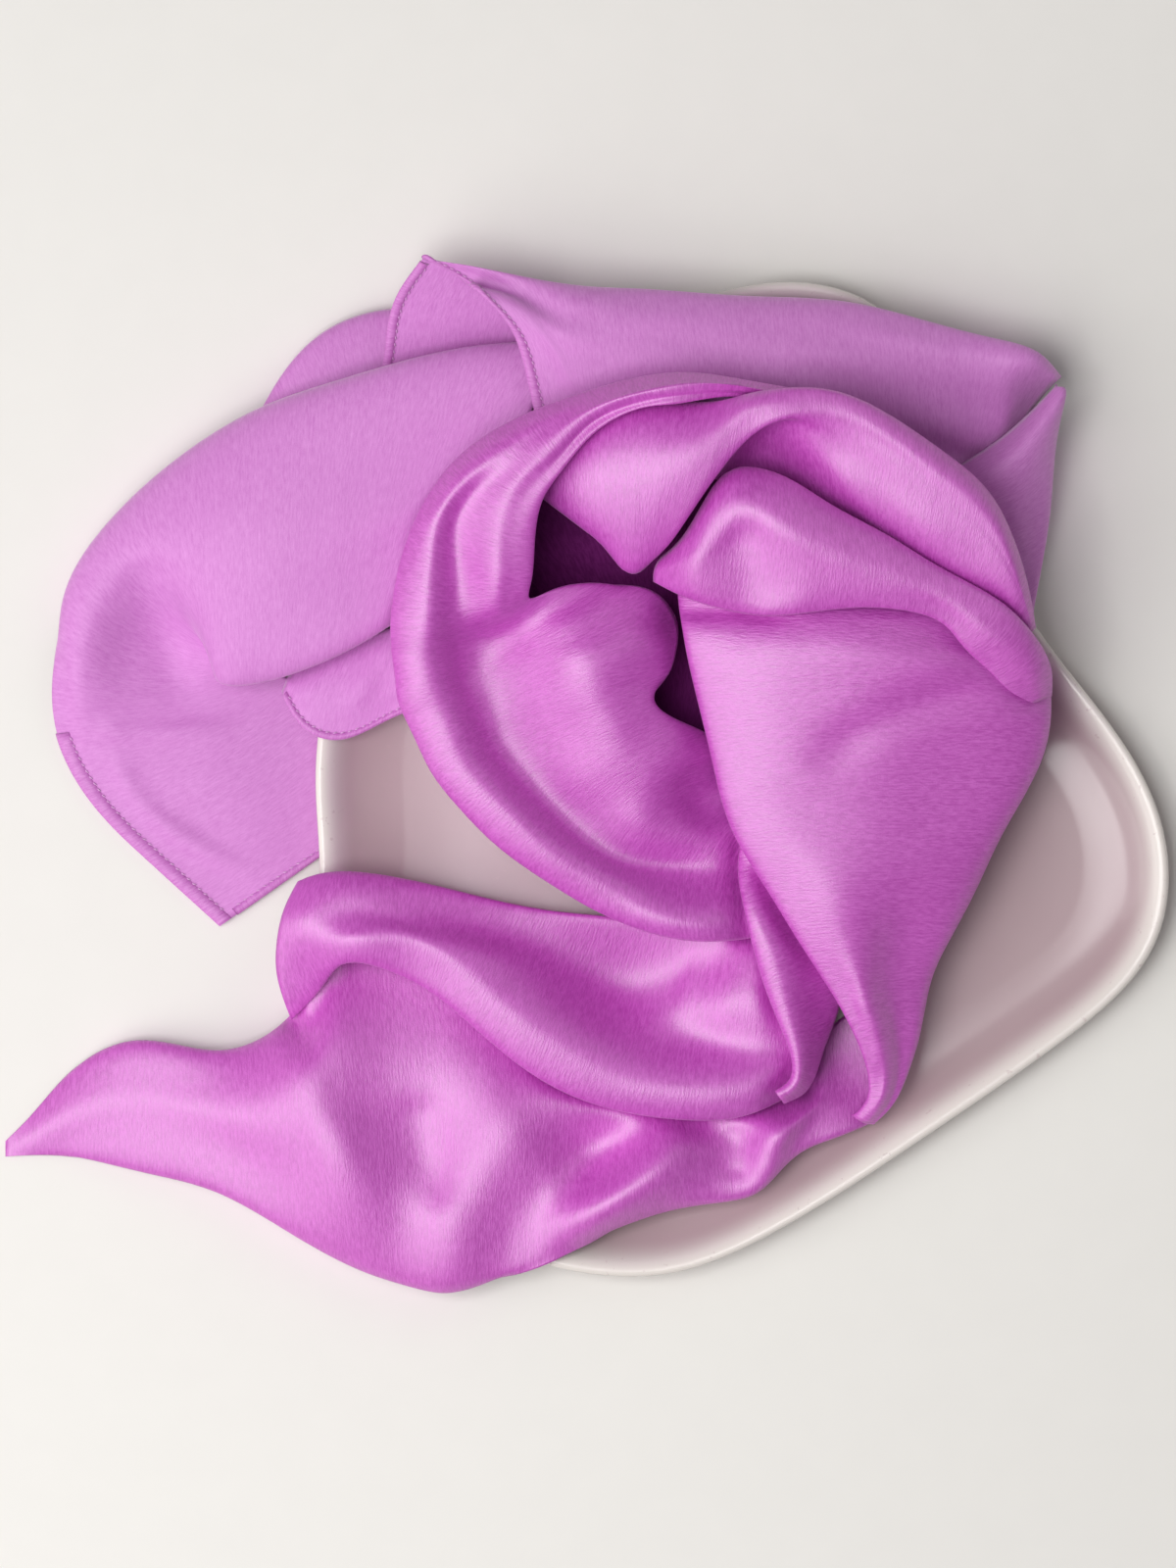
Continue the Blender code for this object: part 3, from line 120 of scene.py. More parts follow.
SECTIONS = {
    "petal_upper": """
           near turn   crest       mid       lip    tuck  pocket     slope           far far_turn  bow
     -18/114/53  0/0  3.5/56    7.5/56     12/52 10.5/47  9.5/43      9/38    -18/106/34      0/0    0
   1.5/129.5/60  2/0 12.5/69   28.5/68   42.5/57 40.5/50   39/43   37.5/36       1/93/30      0/0   -1
    18/134.5/63  3/4 14.5/74   34.5/72   55.5/60 60.5/50   58/43   55.5/36    15.5/81/29      0/0 -0.5
    35/134.5/64  3/2   13/77   31.5/75   53.5/61   51/55   49/50   47.5/46  27.5/88.5/43      0/0  0.5
    48.5/135/70  3/0  8/78.5     20/78   37.5/70 34.5/63   32/58   30.5/54   41.5/107/50      0/0  0.5
    56.5/137/73  3/0  5/79.5   11.5/79     19/75   16/68 20.5/56     26/48     53/105/45      0/0   -1
65.5/138.5/74.5  3/0  4/79.5    7.5/80     12/78 10.5/71 16.5/60   26.5/52     68/101/47      0/0 -1.5
      74/139/75  3/2    4/79  7.5/79.5   11/77.5   13/73 19.5/67   30.5/58    78.5/95/54      0/0   -1
      86/138/74 4/14    5/78    9/77.5   13.5/75 18/72.5   24/70   34.5/65    89/93.5/56      0/0   -1
     105/130/71 5/22  6.5/77     11/76 16.5/74.5 22.5/72   28/70   37/65.5     102/84/57      0/0    0
 126.5/115.5/66 5/20    6/75 11.5/74.5     17/73   23/71 28.5/69   36.5/64     119/70/55      0/0   -1
      144/98/61 5/18    5/71   10.5/71   15.5/70 20.5/68 25/65.5   30/61.5     136/61/54      0/0 -0.5
      154/73/55 5/12  3/63.5      5/64    7/63.5  9.5/62 12/59.5 15.5/55.5 145.5/55.5/51      0/0 -0.5
      158/55/46  2/0    1/51    2/51.5  2.5/51.5  3.5/51  4.5/50    6/48.5 152/49.5/46.5      0/0    0
""",
    "petal_low": """
           near  turn     crest       mid       dip            far far_turn bow
     25.5/80/51   0/0    2.5/54    4.5/55      7/54       23/71/51      1/0  -1
       33/87/57   0/0      4/64      9/66     14/64     30/67.5/57    2.5/1  -1
     40/98.5/63   0/0    7.5/71   15.5/73   24.5/71     35.5/65/60      3/1   0
    48.5/110/65   1/0  9.5/75.5   22/75.5 35.5/71.5     43/62.5/62      3/0 0.5
  57.5/111.5/64   3/0 11.5/77.5 22.5/76.5     38/71     54/60/62.5      3/0 1.5
      67/109/66 3.5/0   14.5/79 24.5/77.5 39.5/72.5       63/59/65    2.5/0   1
   85/98.5/67.5 2.5/0   12/76.5 22.5/75.5   31/72.5 83.5/60.5/66.5    1.5/0   1
      106/87/67   2/0   10/73.5     17/73   21.5/71  104/61.5/66.5    1.5/0   1
126.5/74.5/64.5   2/0    5/69.5   10/69.5     14/67    124/56.5/63    1.5/0 0.5
    146.5/63/62   2/0      5/66   11/66.5     16/64    132.5/47/60      1/0   2
    158/52/55.5   1/0      4/60    9.5/61     15/59      142/39/56      0/0   1
  164/40.5/46.5   1/0  3.5/51.5  7.5/53.5     12/53    149/32.5/52      0/0 0.5
    164/31/41.5   0/0  1.5/43.5  3.5/45.5  5.5/46.5  157/28.5/47.5      0/0   0
""",
    "petal_outer": """
          near turn     brow     crest       dip      rise    swell           far far_turn  bow
   70/139.5/60  3/8   1.5/64    2.5/66    4/66.5      5/66   6.5/65 66.5/132.5/64      2/0    0
 51.5/142.5/65 4/15   1.5/71    2.5/73      3/73  4.5/71.5 5.5/69.5     50/136/67    1.5/0    0
 31.5/144.5/65 5/18   2.5/74      4/77    5.5/78    7.5/77     9/76   31.5/134/72      3/0    0
     14/142/63 5/12   2.5/72    4.5/76      6/78    7.5/77   9.5/75 17.5/132.5/71    3.5/0 -0.5
   -3.5/137/61 5/12     3/71    5.5/74    7.5/76     10/75    12/73  2.5/124.5/69      4/0    0
  -22.5/130/60 5/16     5/71    8.5/73     13/75     17/75  20.5/73   -9/111.5/68      4/0    0
  -42/118.5/59 5/17     6/71     10/72     15/72   20.5/74    27/73  -16.5/100/67      4/0 -2.5
    -57/101/58 5/18     6/70   10/68.5   15/65.5   25/70.5  33.5/71   -19/85.5/65     4/10 -3.5
     -67/75/56 5/17 5.5/65.5   12.5/68 21.5/60.5     32/67  40.5/67 -20.5/70.5/61     4/12 -1.5
 -69.5/57.5/54 5/16   6/64.5   14/66.5   23/56.5   34.5/60  43/60.5 -19/65.5/54.5     4/10 -3.5
   -69.5/51/53 5/17   6/63.5     14/65 23.5/52.5   36/54.5  48.5/57 -10/69.5/50.5    3.5/8   -5
     -69/45/53 5/18   6/63.5 14.5/63.5   24.5/49     38/48  55.5/54       4/71/48      2/2   -5
     -68/37/52 5/19 6.5/62.5   15/62.5     25/47   40.5/47  62.5/58  15.5/70.5/48      1/0   -5
   -67/29.5/52 5/18 6.5/61.5   16/61.5 25.5/46.5   41.5/48  65.5/60      25/67/48    0.5/0   -4
   -64.5/23/51 5/20 7.5/60.5   16.5/60   26.5/46     43/49    68/62    31/59.5/49    0.5/0   -1
   -60/13.5/50 5/28   7/59.5     16/59     26/45     42/49  67.5/62      32/49/48      1/0  1.5
    -55/3.5/49 5/31   7/58.5 15.5/57.5   25/43.5   40.5/48  64.5/60      29/39/48      1/0    4
     -46/-8/48 5/32   7/57.5   15/56.5   24/42.5     39/47    60/57  23.5/29.5/50      2/2    4
-31.5/-22.5/46 5/31 6.5/55.5   14/55.5 22.5/41.5   34.5/46    57/54  34.5/21.5/42    2.5/2    5
    -14/-35/43 5/28 6.5/53.5   13/51.5   19.5/40 31.5/44.5  52.5/50    47/13.5/34      2/0    9
      7/-47/41 5/12   6/49.5   12.5/48   19/37.5   29.5/43  45/41.5       51/2/28      0/0   11
   31.5/-55/39  5/8   6.5/49     15/42     24/34   32.5/37    42/35      54/-7/27      0/0    9
     55/-55/37  4/4   6.5/43   14.5/39     23/34     30/32  37/29.5 63/-13.5/26.5      0/0    4
   75/-52.5/30  1/0   6.5/33   12.5/32     19/31   24.5/30    30/30   77.5/-18/29      0/0    1
""",
    "panel_right": """
          near   turn      brow     crest       mid       dip             far far_turn  bow
    31.5/72/47    2/4     18/52   38.5/53   66.5/53   94.5/48     151.5/60/38      0/0  3.5
      32/63/51   4/12   17.5/59 37.5/60.5 65.5/60.5   94.5/56       156/54/40      4/6    3
      33/56/55 4.5/14 16.5/61.5   36.5/63   64.5/63   94.5/57   160.5/47.5/40     5/14    2
    34.5/47/55   5/16   15/62.5   35.5/65   63.5/65 95.5/59.5       163/40/41     6/20    2
    38/31.5/53   5/16 15.5/61.5     33/64   60/63.5 93.5/57.5       164/31/39     6/21    1
     43.5/9/51    5/6   12.5/59   28.5/61 54.5/59.5   84.5/53     161.5/11/36     6/18  0.5
 51.5/-18/48.5    5/3 11.5/56.5   25.5/58 46.5/56.5     71/50  146.5/-18/34.5     6/16  0.5
   63.5/-38/46    5/2      9/54   20.5/57   34.5/55   53.5/48      137/-38/32     6/14    1
   75/-56.5/44    5/2    6.5/51   14.5/53   24.5/50   37.5/42    127.5/-56/30     6/12  1.5
   86/-73.5/41    4/2    4.5/46    9.5/49   15.5/46     25/39  121.5/-69.5/28      5/8  1.5
   95/-90.5/36    3/2    3.5/40      7/42   11.5/39   16.5/34  117.5/-87.5/25      5/5    2
99.5/-104.5/29    3/1      3/32    5.5/33    8.5/31   11.5/28 113.5/-101.5/22      4/3 -0.5
98.5/-112.5/25    2/0    2.5/28  4.5/28.5    6.5/27    8.5/24   108/-113.5/20      3/1 -0.5
93.5/-117.5/21    0/0    2.5/23      5/23    6.5/22    8/20.5     102/-121/19      0/0   -1
""",
    "strip_mid": """
        near    turn    crest     mid     dip            far far_turn  bow
 55/-12.5/40     0/0   4.5/43    9/43   15/41    76.5/-10/38      0/0    0
 53/-29.5/43   3.5/1   4.5/47 10.5/47 18.5/44    78.5/-24/40      0/0    0
 55/-44/43.5 2.5/0.5     5/48   12/47   20/43      82/-37/37      0/0  0.5
 61/-67.5/40   3.5/4   5.5/45 12.5/42   21/37    89/-57.5/33      0/0    0
   68/-86/37   3.5/4 3.5/41.5  8.5/38 14.5/32  89.5/-78.5/26      0/0 -0.5
 72/-97.5/35     3/3     2/39    5/37    8/32  83.5/-96.5/25      1/1 -0.5
  71/-105/33   2.5/2     2/36    4/35    6/31 77.5/-109.5/25      1/1 -0.5
66/-108.5/34     1/1   2/35.5    4/34    5/31 69.5/-113.5/28      0/0    0
""",
    "roll_lower": """
          near turn    brow     crest       mid       dip              far far_turn  bow
 -103/-34.5/24  3/6    6/29   14.5/31   25.5/27   37.5/22    -105.5/-84/15      2/0 -6.5
    -96/-32/26 4/14    7/34   15.5/37   23.5/35   32.5/29       -95/-73/21      3/0   -5
    -86/-31/27 4/15  6.5/36   14.5/38   21.5/41   27.5/40       -87/-64/31      5/0 -0.5
    -63/-34/26 4/16  7.5/33     15/37 19.5/41.5 27.5/39.5 -67.5/-67.5/32.5      5/3    0
-31.5/-41.5/23 4/14  9.5/27   17.5/36   25.5/41 33.5/39.5 -49.5/-78.5/32.5      5/3    0
   -3.5/-46/21  4/6 11.5/20 22.5/24.5   34.5/36 46.5/39.5    -24/-100/31.5      5/3    0
   21/-48.5/20  3/0 15.5/15   30/16.5     43/30     56/37    2/-113.5/29.5      5/2  0.5
     44/-49/24  0/0 16/21.5   30.5/24   44/24.5 58.5/35.5       31/-119/28      5/2    0
   65/-52.5/26  0/0   16/32     29/32 42.5/29.5   54.5/34   56.5/-117.5/27      5/2  0.5
     82/-61/24  0/0 10.5/26     21/26     32/26   40.5/29       75/-109/24      4/1  0.5
""",
    "drape_low": """
           near  turn   crest     mid     dip              far far_turn bow
-208/-127.5/1.5   0/0 1.5/1.5   3/1.5   4/1.5    -208/-133/1.5      0/0   0
  -199.5/-119/2   0/0   3.5/3   7/3.5  10.5/3  -199.5/-132.5/2      0/0   0
  -184/-101.5/3   1/0 7.5/6.5    16/8  24.5/6  -185/-133.5/2.5      1/0   0
   -161/-91.5/6 2.5/1   10/12   21/13 33.5/11      -161/-138/5      2/0   0
  -132.5/-95/10   3/4   10/18 22.5/20 36.5/16      -131/-146/9      3/2   0
  -108.5/-85/10 3.5/8   13/26   34/30   57/23 -103.5/-161.5/11    3.5/4 0.5
     -89/-58/11   0/0   33/28   56/30   84/30  -80.5/-173.5/12    3.5/5  -1
     -68/-62/16   0/0 36/24.5 60.5/24 88/25.5    -63.5/-179/13      4/5   0
     -47/-70/17   0/0   31/25   56/26 87.5/28    -48.5/-181/14      4/5   0
     -24/-91/18   0/0   17/26   36/29 62.5/23  -24/-174.5/19.5      1/0   0
      4/-102/18   0/0 12.5/24   28/18   47/32      1.5/-163/20      1/0   0
   28.5/-109/18   0/0  7.5/19   17/28   30/31       32/-151/18    2.5/0   0
     52/-108/18   0/0 10.5/20 19.5/20 29.5/22     53/-147.5/17    3.5/0   0
 66.5/-104.5/17   0/0   10/25   20/28 29.5/26   62.5/-143.5/17      3/0   1
    78.5/-96/12   0/0   12/18   21/24   29/23       74/-132/16      3/0   1
     89.5/-84/9   0/0 13.5/11   25/15   34/19     88/-125.5/16      3/0   0
    102/-78.5/9   0/0   14/11   25/13 34.5/15      102/-120/14      2/0 0.5
""",
    "drape_left": """
          near turn   crest     mid     dip             far far_turn bow
   -56/62.5/30  0/0 24.5/34   49/35   77/34     -7/157.5/26      4/2   0
     -75/53/28  4/3 21.5/34   44/37 69.5/36    -46/154.5/27      5/2   0
   -98/41.5/26  4/3 21.5/35   46/38   74/37      -89/143/25      5/3   0
-118.5/35.5/21  4/3 20.5/33   45/37   73/35 -118.5/132.5/20      5/9   0
-132.5/37.5/17  3/2 15.5/25 33.5/29 57.5/30     -147/115/16     4/10   1
   -126/43.5/9  0/0   16/11 35.5/16 54.5/22    -173/90.5/11      3/6   5
 -122.5/42/6.5  0/0    20/7  40.5/9 58.5/18       -187/66/9      2/3 6.5
 -118.5/40.5/5  0/0  23.5/5  44.5/7 62.5/12     -191/38.5/6      0/0   7
 -110/38.5/3.5  0/0  24.5/4  46.5/5    69/7     -189.5/18/3      0/0 3.5
   -101/34.5/3  0/0    25/4    45/5  69/4.5   -179/-3.5/2.5      0/0   3
  -93/15.5/2.5  0/0    21/3    40/4    60/3    -159/-25/2.5      0/0 2.5
     -93/-24/2  0/0  12/2.5  23.5/3  35/2.5    -131/-50.5/2      0/0   0
""",
    "fold_back": """
          near turn    mid           far far_turn bow
-118.5/131.5/5  0/0  2.5/7    -115/126/8      0/0   0
    -107/149/7  3/3   8/11 -101/133.5/12      0/0   0
   -91.5/163/7  3/4  11/12  -86/141.5/13      0/0   0
     -74/169/7  3/4  11/12    -73/147/12      0/0   0
     -51/168/7  3/4 7.5/12  -51/152.5/12      0/0   0
     -23/163/7  1/2   4/11  -23/154.5/11      0/0   0
""",
    "arch_inner": """
        near turn  crest     dip          far far_turn  bow
-58.5/186/33  0/0   9/29 22.5/22 -73/147.5/15      0/0   -4
-42/181.5/31  0/0   8/27   20/21 -51.5/150/15      0/0 -1.5
  -18/175/27  0/0 6.5/24   14/20 -22/153.5/17      0/0    0
""",
    "band_back": """
          near   turn   brow  crest     dip    rise   swell            far far_turn  bow
-58.5/186.5/38    0/0 9.5/36  19/36   18/42 29.5/44 46.5/41   -18/129.5/36      0/0 10.5
    -40/183/39  2.5/6 7.5/37  14/39   17/43   28/45   42/42    -9/129.5/37      0/0    8
    -14/178/37   4/14   6/42  12/43   18/45 25.5/44   37/42      -3/126/37      0/0    1
 17.5/175.5/34   4/22   5/40  10/42   16/43 23.5/44 35.5/42      23/126/38      0/0  0.5
     56/173/32   4/22 5.5/39  11/41 17.5/42 25.5/42 37.5/40    60/122.5/36      0/0    0
   91.5/171/31   4/22 5.5/37  11/39 17.5/39 25.5/38 37.5/35    97.5/119/31      0/0 -0.5
  119/164.5/31   4/22 4.5/36 9.5/38 16.5/36 25.5/32 38.5/28     124/110/24      0/0 -1.5
    144/158/32   4/22 4.5/37 9.5/37   16/34   23/29 33.5/24 136.5/112.5/19      0/0 -0.5
  159.5/153/33 3.5/12 3.5/38 8.5/38 14.5/34   21/29   31/23     142/115/18      0/0    0
  168.5/145/31    1/2 3/35.5 6.5/35   10/31   16/27   25/22   148.5/116/18      0/0   -2
""",
    "panel_side": """
         near turn   crest     dip            far far_turn  bow
 129/111.5/21  0/0 14.5/24 30.5/27   166.5/142/30      1/0   -2
 133/108.5/30  0/0 13.5/33 28.5/35 169.5/139.5/31      3/6   -3
 136/104.5/33  0/0   13/35   27/35   168/130.5/27     4/14 -2.5
139.5/98.5/32  0/0   11/32   22/31   166/118.5/22     4/14 -2.5
  143.5/89/29  0/0  8.5/29 16.5/26 164.5/100.5/18     4/12 -0.5
  149/73.5/25  0/0  5.5/24   11/22    162/81.5/17    2.5/6 -0.5
  151.5/56/20  0/0  2.5/20  5.5/19  158.5/59.5/17      0/0 -0.5
""",
    "flap_hem": """
       near turn     crest       dip              far far_turn  bow
 -102/46/17  0/0  5.5/18.5   10/18.5       -109/33/18      0/0 -0.5
-91/49.5/19  0/0   11/20.5   22/20.5 -101.5/20.5/18.5      0/0    0
-77.5/53/20  0/0 12.5/21.5 25.5/21.5      -87.5/16/19      0/0    0
-65/57.5/21  0/0   12/22.5   24/22.5      -72/22.5/20      0/0    0
-52/62.5/23  0/0   11.5/24     23/24      -57/28.5/22      0/0    0
""",
}

# Which stretches press on which, and the share of the upper ones' length that does.

PRESSES = """
lower       uppers                           start stop
panel_right petal_low                          0.0  1.0
panel_right petal_upper                        0.5  1.0
strip_mid   panel_right                        0.0  1.0
petal_outer panel_right/petal_low/strip_mid    0.0  1.0
roll_lower  petal_outer/strip_mid/panel_right  0.0  1.0
drape_low   roll_lower/panel_right/strip_mid   0.0  1.0
panel_side  petal_upper/petal_low/panel_right  0.0  1.0
band_back   petal_outer/petal_upper/panel_side 0.0  1.0
drape_left  petal_outer/band_back              0.0  1.0
arch_inner  drape_left/band_back               0.0  1.0
fold_back   arch_inner/drape_left              0.0  1.0
flap_hem    drape_left                         0.0 0.38
flap_hem    petal_outer                        0.0  1.0
"""

# The dish's outline in plan, anticlockwise from its left side.

DISH_OUTLINE = """
    x      y
-97.3    0.0
-95.9  -28.0
-96.5  -60.0
-86.0 -110.0
-59.5 -149.8
-20.0 -170.0
 31.5 -174.0
 66.0 -160.0
122.5 -124.3
170.0  -91.0
202.5  -56.0
205.8  -20.0
192.5   12.0
161.0   54.3
134.0  112.0
100.0  172.0
 77.0  178.8
 45.5  175.0
  0.0  155.0
-45.0  124.0
-78.0   82.0
-92.5   40.0
"""

# The dish's wall, from the foot round the rim to the inner floor: inset from the outline, and height.

DISH_WALL = """
inset   up
 34.0  0.0
 26.0  0.0
 14.0  3.2
  4.5 10.5
  0.3 14.4
  0.6 15.6
  2.2 16.0
  4.4 15.3
  9.0 12.0
 18.0  8.4
 32.0  6.7
"""

# The hidden layers' widest reach from their middle, at each of these angles.

CORE_OUTLINE = """
angle reach
   0  88
  45 100
  90 104
 135 102
 180  66
 225  46
 270  64
 315  84
"""

# Soft ridges, and troughs where the rise is negative: three places in plan, and half their width.

CREASES = """
stretch        start   middle      end width rise
panel_right   156/33   115/27     75/2     7 -2.2
panel_right    56/49    91/51   140/42     8  1.2
panel_right   93/-70  100/-89 103/-105   2.5  0.8
petal_outer   -59/84   -66/56   -56/21     5  0.5
petal_outer   -14/52     4/28     14/0     9  1.5
petal_outer    31/23     24/0   14/-18     7  1.1
petal_outer     35/7    40/-7   51/-18     8 -1.6
petal_low     47/101    70/88   105/71     6  0.9
petal_low      48/91    59/77    67/54    10 -1.9
petal_upper    -1/84     9/77    24/80     3    1
petal_upper   80/115  108/100   135/80     5  0.8
drape_low   -102/-91 -93/-122 -70/-161     8  1.4
drape_low   -62/-108 -57/-132 -50/-154     9 -2.2
drape_low    18/-121  -4/-138 -24/-156     8 -1.6
drape_low    68/-115  65/-128  61/-141   4.5  0.7
drape_low    52/-119  53/-131  51/-142     6 -0.9
drape_low   -14/-164   7/-149  37/-128     7    1
drape_left   -168/14 -154/-12 -112/-35     4  1.6
drape_left   -177/20  -154/18  -122/21     4  1.4
drape_left   -158/84  -152/56  -140/23     9 -2.5
flap_hem      -69/52   -78/38   -87/23     4  1.2
roll_lower    31/-70   43/-74   58/-76    10  0.8
band_back    103/127  124/118  144/113   5.5 -3.4
band_back    -14/164   56/158  133/140     5  0.8
band_back      0/140   56/131  115/121     6 -1.2
"""


@dataclass(frozen=True)
class LoftRules:
    """How closely a stretch is worked out, and how its turned-under edges are rolled.

    The roll's places are multiples of its radius.
    """

    step_along: float = 2.0
    step_across: float = 1.9
    wall: float = 0.5
    full_roll: float = 2.0
    shoulder_in: float = 0.45
    shoulder_down: float = 1.0
    under_in: float = 0.95
    under_down: float = 1.2
    under_lap: float = 1.0
    hang_lean: float = 0.12
    flat_shares: tuple[float, float, float] = (0.0, 0.12, 0.24)
    edge_knots: int = 3
    edge_columns: tuple[str, ...] = ("near", "turn", "far", "far_turn", "bow")


@dataclass(frozen=True)
class PressRules:
    """How one layer presses the layers under it, and how the cloth lies on the dish and the table."""

    reach: float = 236.0
    cell: float = 1.2
    air: float = 0.5
    margin: float = 1.6
    spread: float = 16.0
    slope: float = 1.6
    rim_margin: float = 4.0
    rim_spread: float = 8.0
    rests: float = 0.35
    softenings: int = 8
    overlap: float = 1.3  # how much closer than the cells the points of a cloud lie
    upright: float = 0.05  # what stands steeper than this isn't raised
    upright_fade: float = 0.3
    last_cell: float = 1.001  # keeps a place at the edge of a map within its last cell


LOFT = LoftRules()
PRESS = PressRules()


def read_table(text: str) -> Cells:
    """Reads a table of named columns.

    Args:
        text: The table, a line of names and then a line for each row.

    Returns:
        The columns by name: words, numbers, or rows of the numbers that slashes join.
    """
    columns: Cells = {}
    for name, *cells in zip(*(line.split() for line in text.strip().splitlines())):
        columns[name] = cells
        if cells[0][-1].isdigit():
            numbers = np.array([cell.split("/") for cell in cells], float)
            columns[name] = numbers[:, 0] if numbers.shape[1] == 1 else numbers
    return columns


def table_rows(text: str) -> list[tuple[Any, ...]]:
    """The rows of a table of named columns."""
    return list(zip(*read_table(text).values()))


def gaps(points: Array, axis: int = 0) -> Array:
    """The distances between neighbouring points along an axis."""
    return np.linalg.norm(np.diff(points, axis=axis), axis=-1)


def running(steps: Array) -> Array:
    """The running sum of steps along their last axis, from 0."""
    return np.concatenate([np.zeros((*steps.shape[:-1], 1)), np.cumsum(steps, axis=-1)], axis=-1)


def unit(vectors: Array) -> Array:
    """These vectors, made one long."""
    return vectors / (np.linalg.norm(vectors, axis=-1, keepdims=True) + TINY)


def smooth_step(share: Array) -> Array:
    """A rise from 0 to 1 with level ends."""
    share = np.clip(share, 0, 1)
    return share * share * (3 - 2 * share)


def spline_weights(knots: Array, places: Array) -> Array:
    """Works out the natural cubic spline through knots.

    Args:
        knots: Rising places of the known values.
        places: Places at which the spline is wanted.

    Returns:
        The weights of the known values, one row for each place.
    """
    known = np.eye(len(knots))
    gap = np.diff(knots)
    system, right = known.copy(), np.zeros_like(known)
    for i in range(1, len(knots) - 1):
        system[i, i - 1 : i + 2] = gap[i - 1], 2 * (gap[i - 1] + gap[i]), gap[i]
        right[i, i - 1 : i + 2] = 6 / gap[i - 1], -6 / gap[i - 1] - 6 / gap[i], 6 / gap[i]
    bends = np.linalg.solve(system, right)
    cell = np.clip(np.searchsorted(knots, places, side="right") - 1, 0, len(knots) - 2)
    ahead = (places - knots[cell]) / gap[cell]
    weights = np.zeros((len(places), len(knots)))
    for share, knot in ((1 - ahead, cell), (ahead, cell + 1)):
        bend = (share**3 - share) * gap[cell] ** 2 / 6
        weights += share[:, None] * known[knot] + bend[:, None] * bends[knot]
    return weights


def stations(knots: Array, step: float) -> tuple[Array, list[int]]:
    """Spreads places over a row of knots.

    Args:
        knots: Rising places.
        step: Spacing that is aimed at.

    Returns:
        The places, one at every knot and more between them, and which of them is each knot.
    """
    places: list[float] = []
    at_knots = []
    for start, end in zip(knots[:-1], knots[1:]):
        at_knots.append(len(places))
        count = max(1, round((end - start) / step))
        places.extend(start + (end - start) * np.arange(count) / count)
    return np.array(places + [knots[-1]]), at_knots + [len(places)]


def upward_normals(skin: Array) -> Array:
    """Finds the unit normals of a grid of points.

    Args:
        skin: Rows by columns by three.

    Returns:
        The normals at the points, on the side that faces up over most of the grid.
    """
    cells = unit(np.cross(skin[1:, 1:] - skin[:-1, :-1], skin[:-1, 1:] - skin[1:, :-1]))
    padded = np.pad(cells, ((1, 1), (1, 1), (0, 0)), mode="edge")
    normals = unit(padded[1:, 1:] + padded[:-1, :-1] + padded[:-1, 1:] + padded[1:, :-1])
    return normals if normals[:, :, 2].sum() > 0 else -normals


def between(points: Array, places: Array) -> Array:
    """Reads an array between its rows.

    Args:
        points: The array.
        places: Fractional row numbers.

    Returns:
        The rows at those places.
    """
    cell = np.clip(places.astype(int), 0, len(points) - 2)
    share = (places - cell).reshape(-1, *[1] * (points.ndim - 1))
    return points[cell] * (1 - share) + points[cell + 1] * share


def at_length(points: Array, run: Array, length: float) -> Array:
    """The row of an array at this length of its run."""
    return between(points, np.interp([length], run, np.arange(len(run))))[0]


def filled(grids: Iterable[Array], start: float = 0.0, stop: float = 1.0) -> Array:
    """Fills grids with points that leave no cell of the plan map between them.

    Args:
        grids: Grids of points.
        start: Share of their rows from which they are read.
        stop: Share of their rows up to which they are read.

    Returns:
        One list of points.
    """
    clouds = []
    for grid in grids:
        last = len(grid) - 1
        grid = grid[int(start * last) : math.ceil(stop * last) + 1]
        for axis in (0, 1):
            grid = np.moveaxis(grid, axis, 0)
            finer = max(1, math.ceil(gaps(grid[..., :2]).max() / PRESS.cell * PRESS.overlap))
            cells = len(grid) - 1
            grid = np.moveaxis(between(grid, np.linspace(0, cells, cells * finer + 1)), 0, axis)
        clouds.append(grid.reshape(-1, 3))
    return np.concatenate(clouds)


@dataclass
class PlanMap:
    """One height over each cell of the plan."""

    heights: Array

    @classmethod
    def level(cls, height: float) -> "PlanMap":
        """A map with one height all over."""
        count = int(2 * PRESS.reach / PRESS.cell) + 1
        return cls(np.full((count, count), height, float))

    @staticmethod
    def cells(points: Array) -> Array:
        """Fractional cell numbers of points."""
        return (points[..., :2] + PRESS.reach) / PRESS.cell

    def lowered_to(self, cloud: Array) -> "PlanMap":
        """Lowers the map itself to the lowest point over each cell.

        Args:
            cloud: The points.

        Returns:
            This map.
        """
        cell = np.rint(self.cells(cloud)).astype(int)
        np.minimum.at(self.heights, (cell[:, 0], cell[:, 1]), cloud[:, 2])
        return self

    def spread_down(self, reach: float, slope: float) -> "PlanMap":
        """Lowers the map around every low place.

        Args:
            reach: How far beside a low place it is still held down.
            slope: How steeply it rises over that distance.

        Returns:
            The lowered map.
        """
        heights = self.heights
        wide, deep = heights.shape
        for _ in range(math.ceil(reach / PRESS.cell)):
            padded = np.pad(heights, 1, constant_values=NO_LIMIT)
            for x, y in np.ndindex(3, 3):
                rise = slope * PRESS.cell * math.hypot(x - 1, y - 1)
                heights = np.minimum(heights, padded[x : x + wide, y : y + deep] + rise)
        return PlanMap(heights)

    def at(self, points: Array) -> Array:
        """Reads the map between its cells.

        Args:
            points: Points, of which the plan places count.

        Returns:
            The heights there.
        """
        place = np.clip(self.cells(points), 0, np.array(self.heights.shape) - PRESS.last_cell)
        cell = place.astype(int)
        x, y = cell[..., 0], cell[..., 1]
        right, up = np.moveaxis(place - cell, -1, 0)
        low = self.heights[x, y] * (1 - right) + self.heights[x + 1, y] * right
        high = self.heights[x, y + 1] * (1 - right) + self.heights[x + 1, y + 1] * right
        return low * (1 - up) + high * up


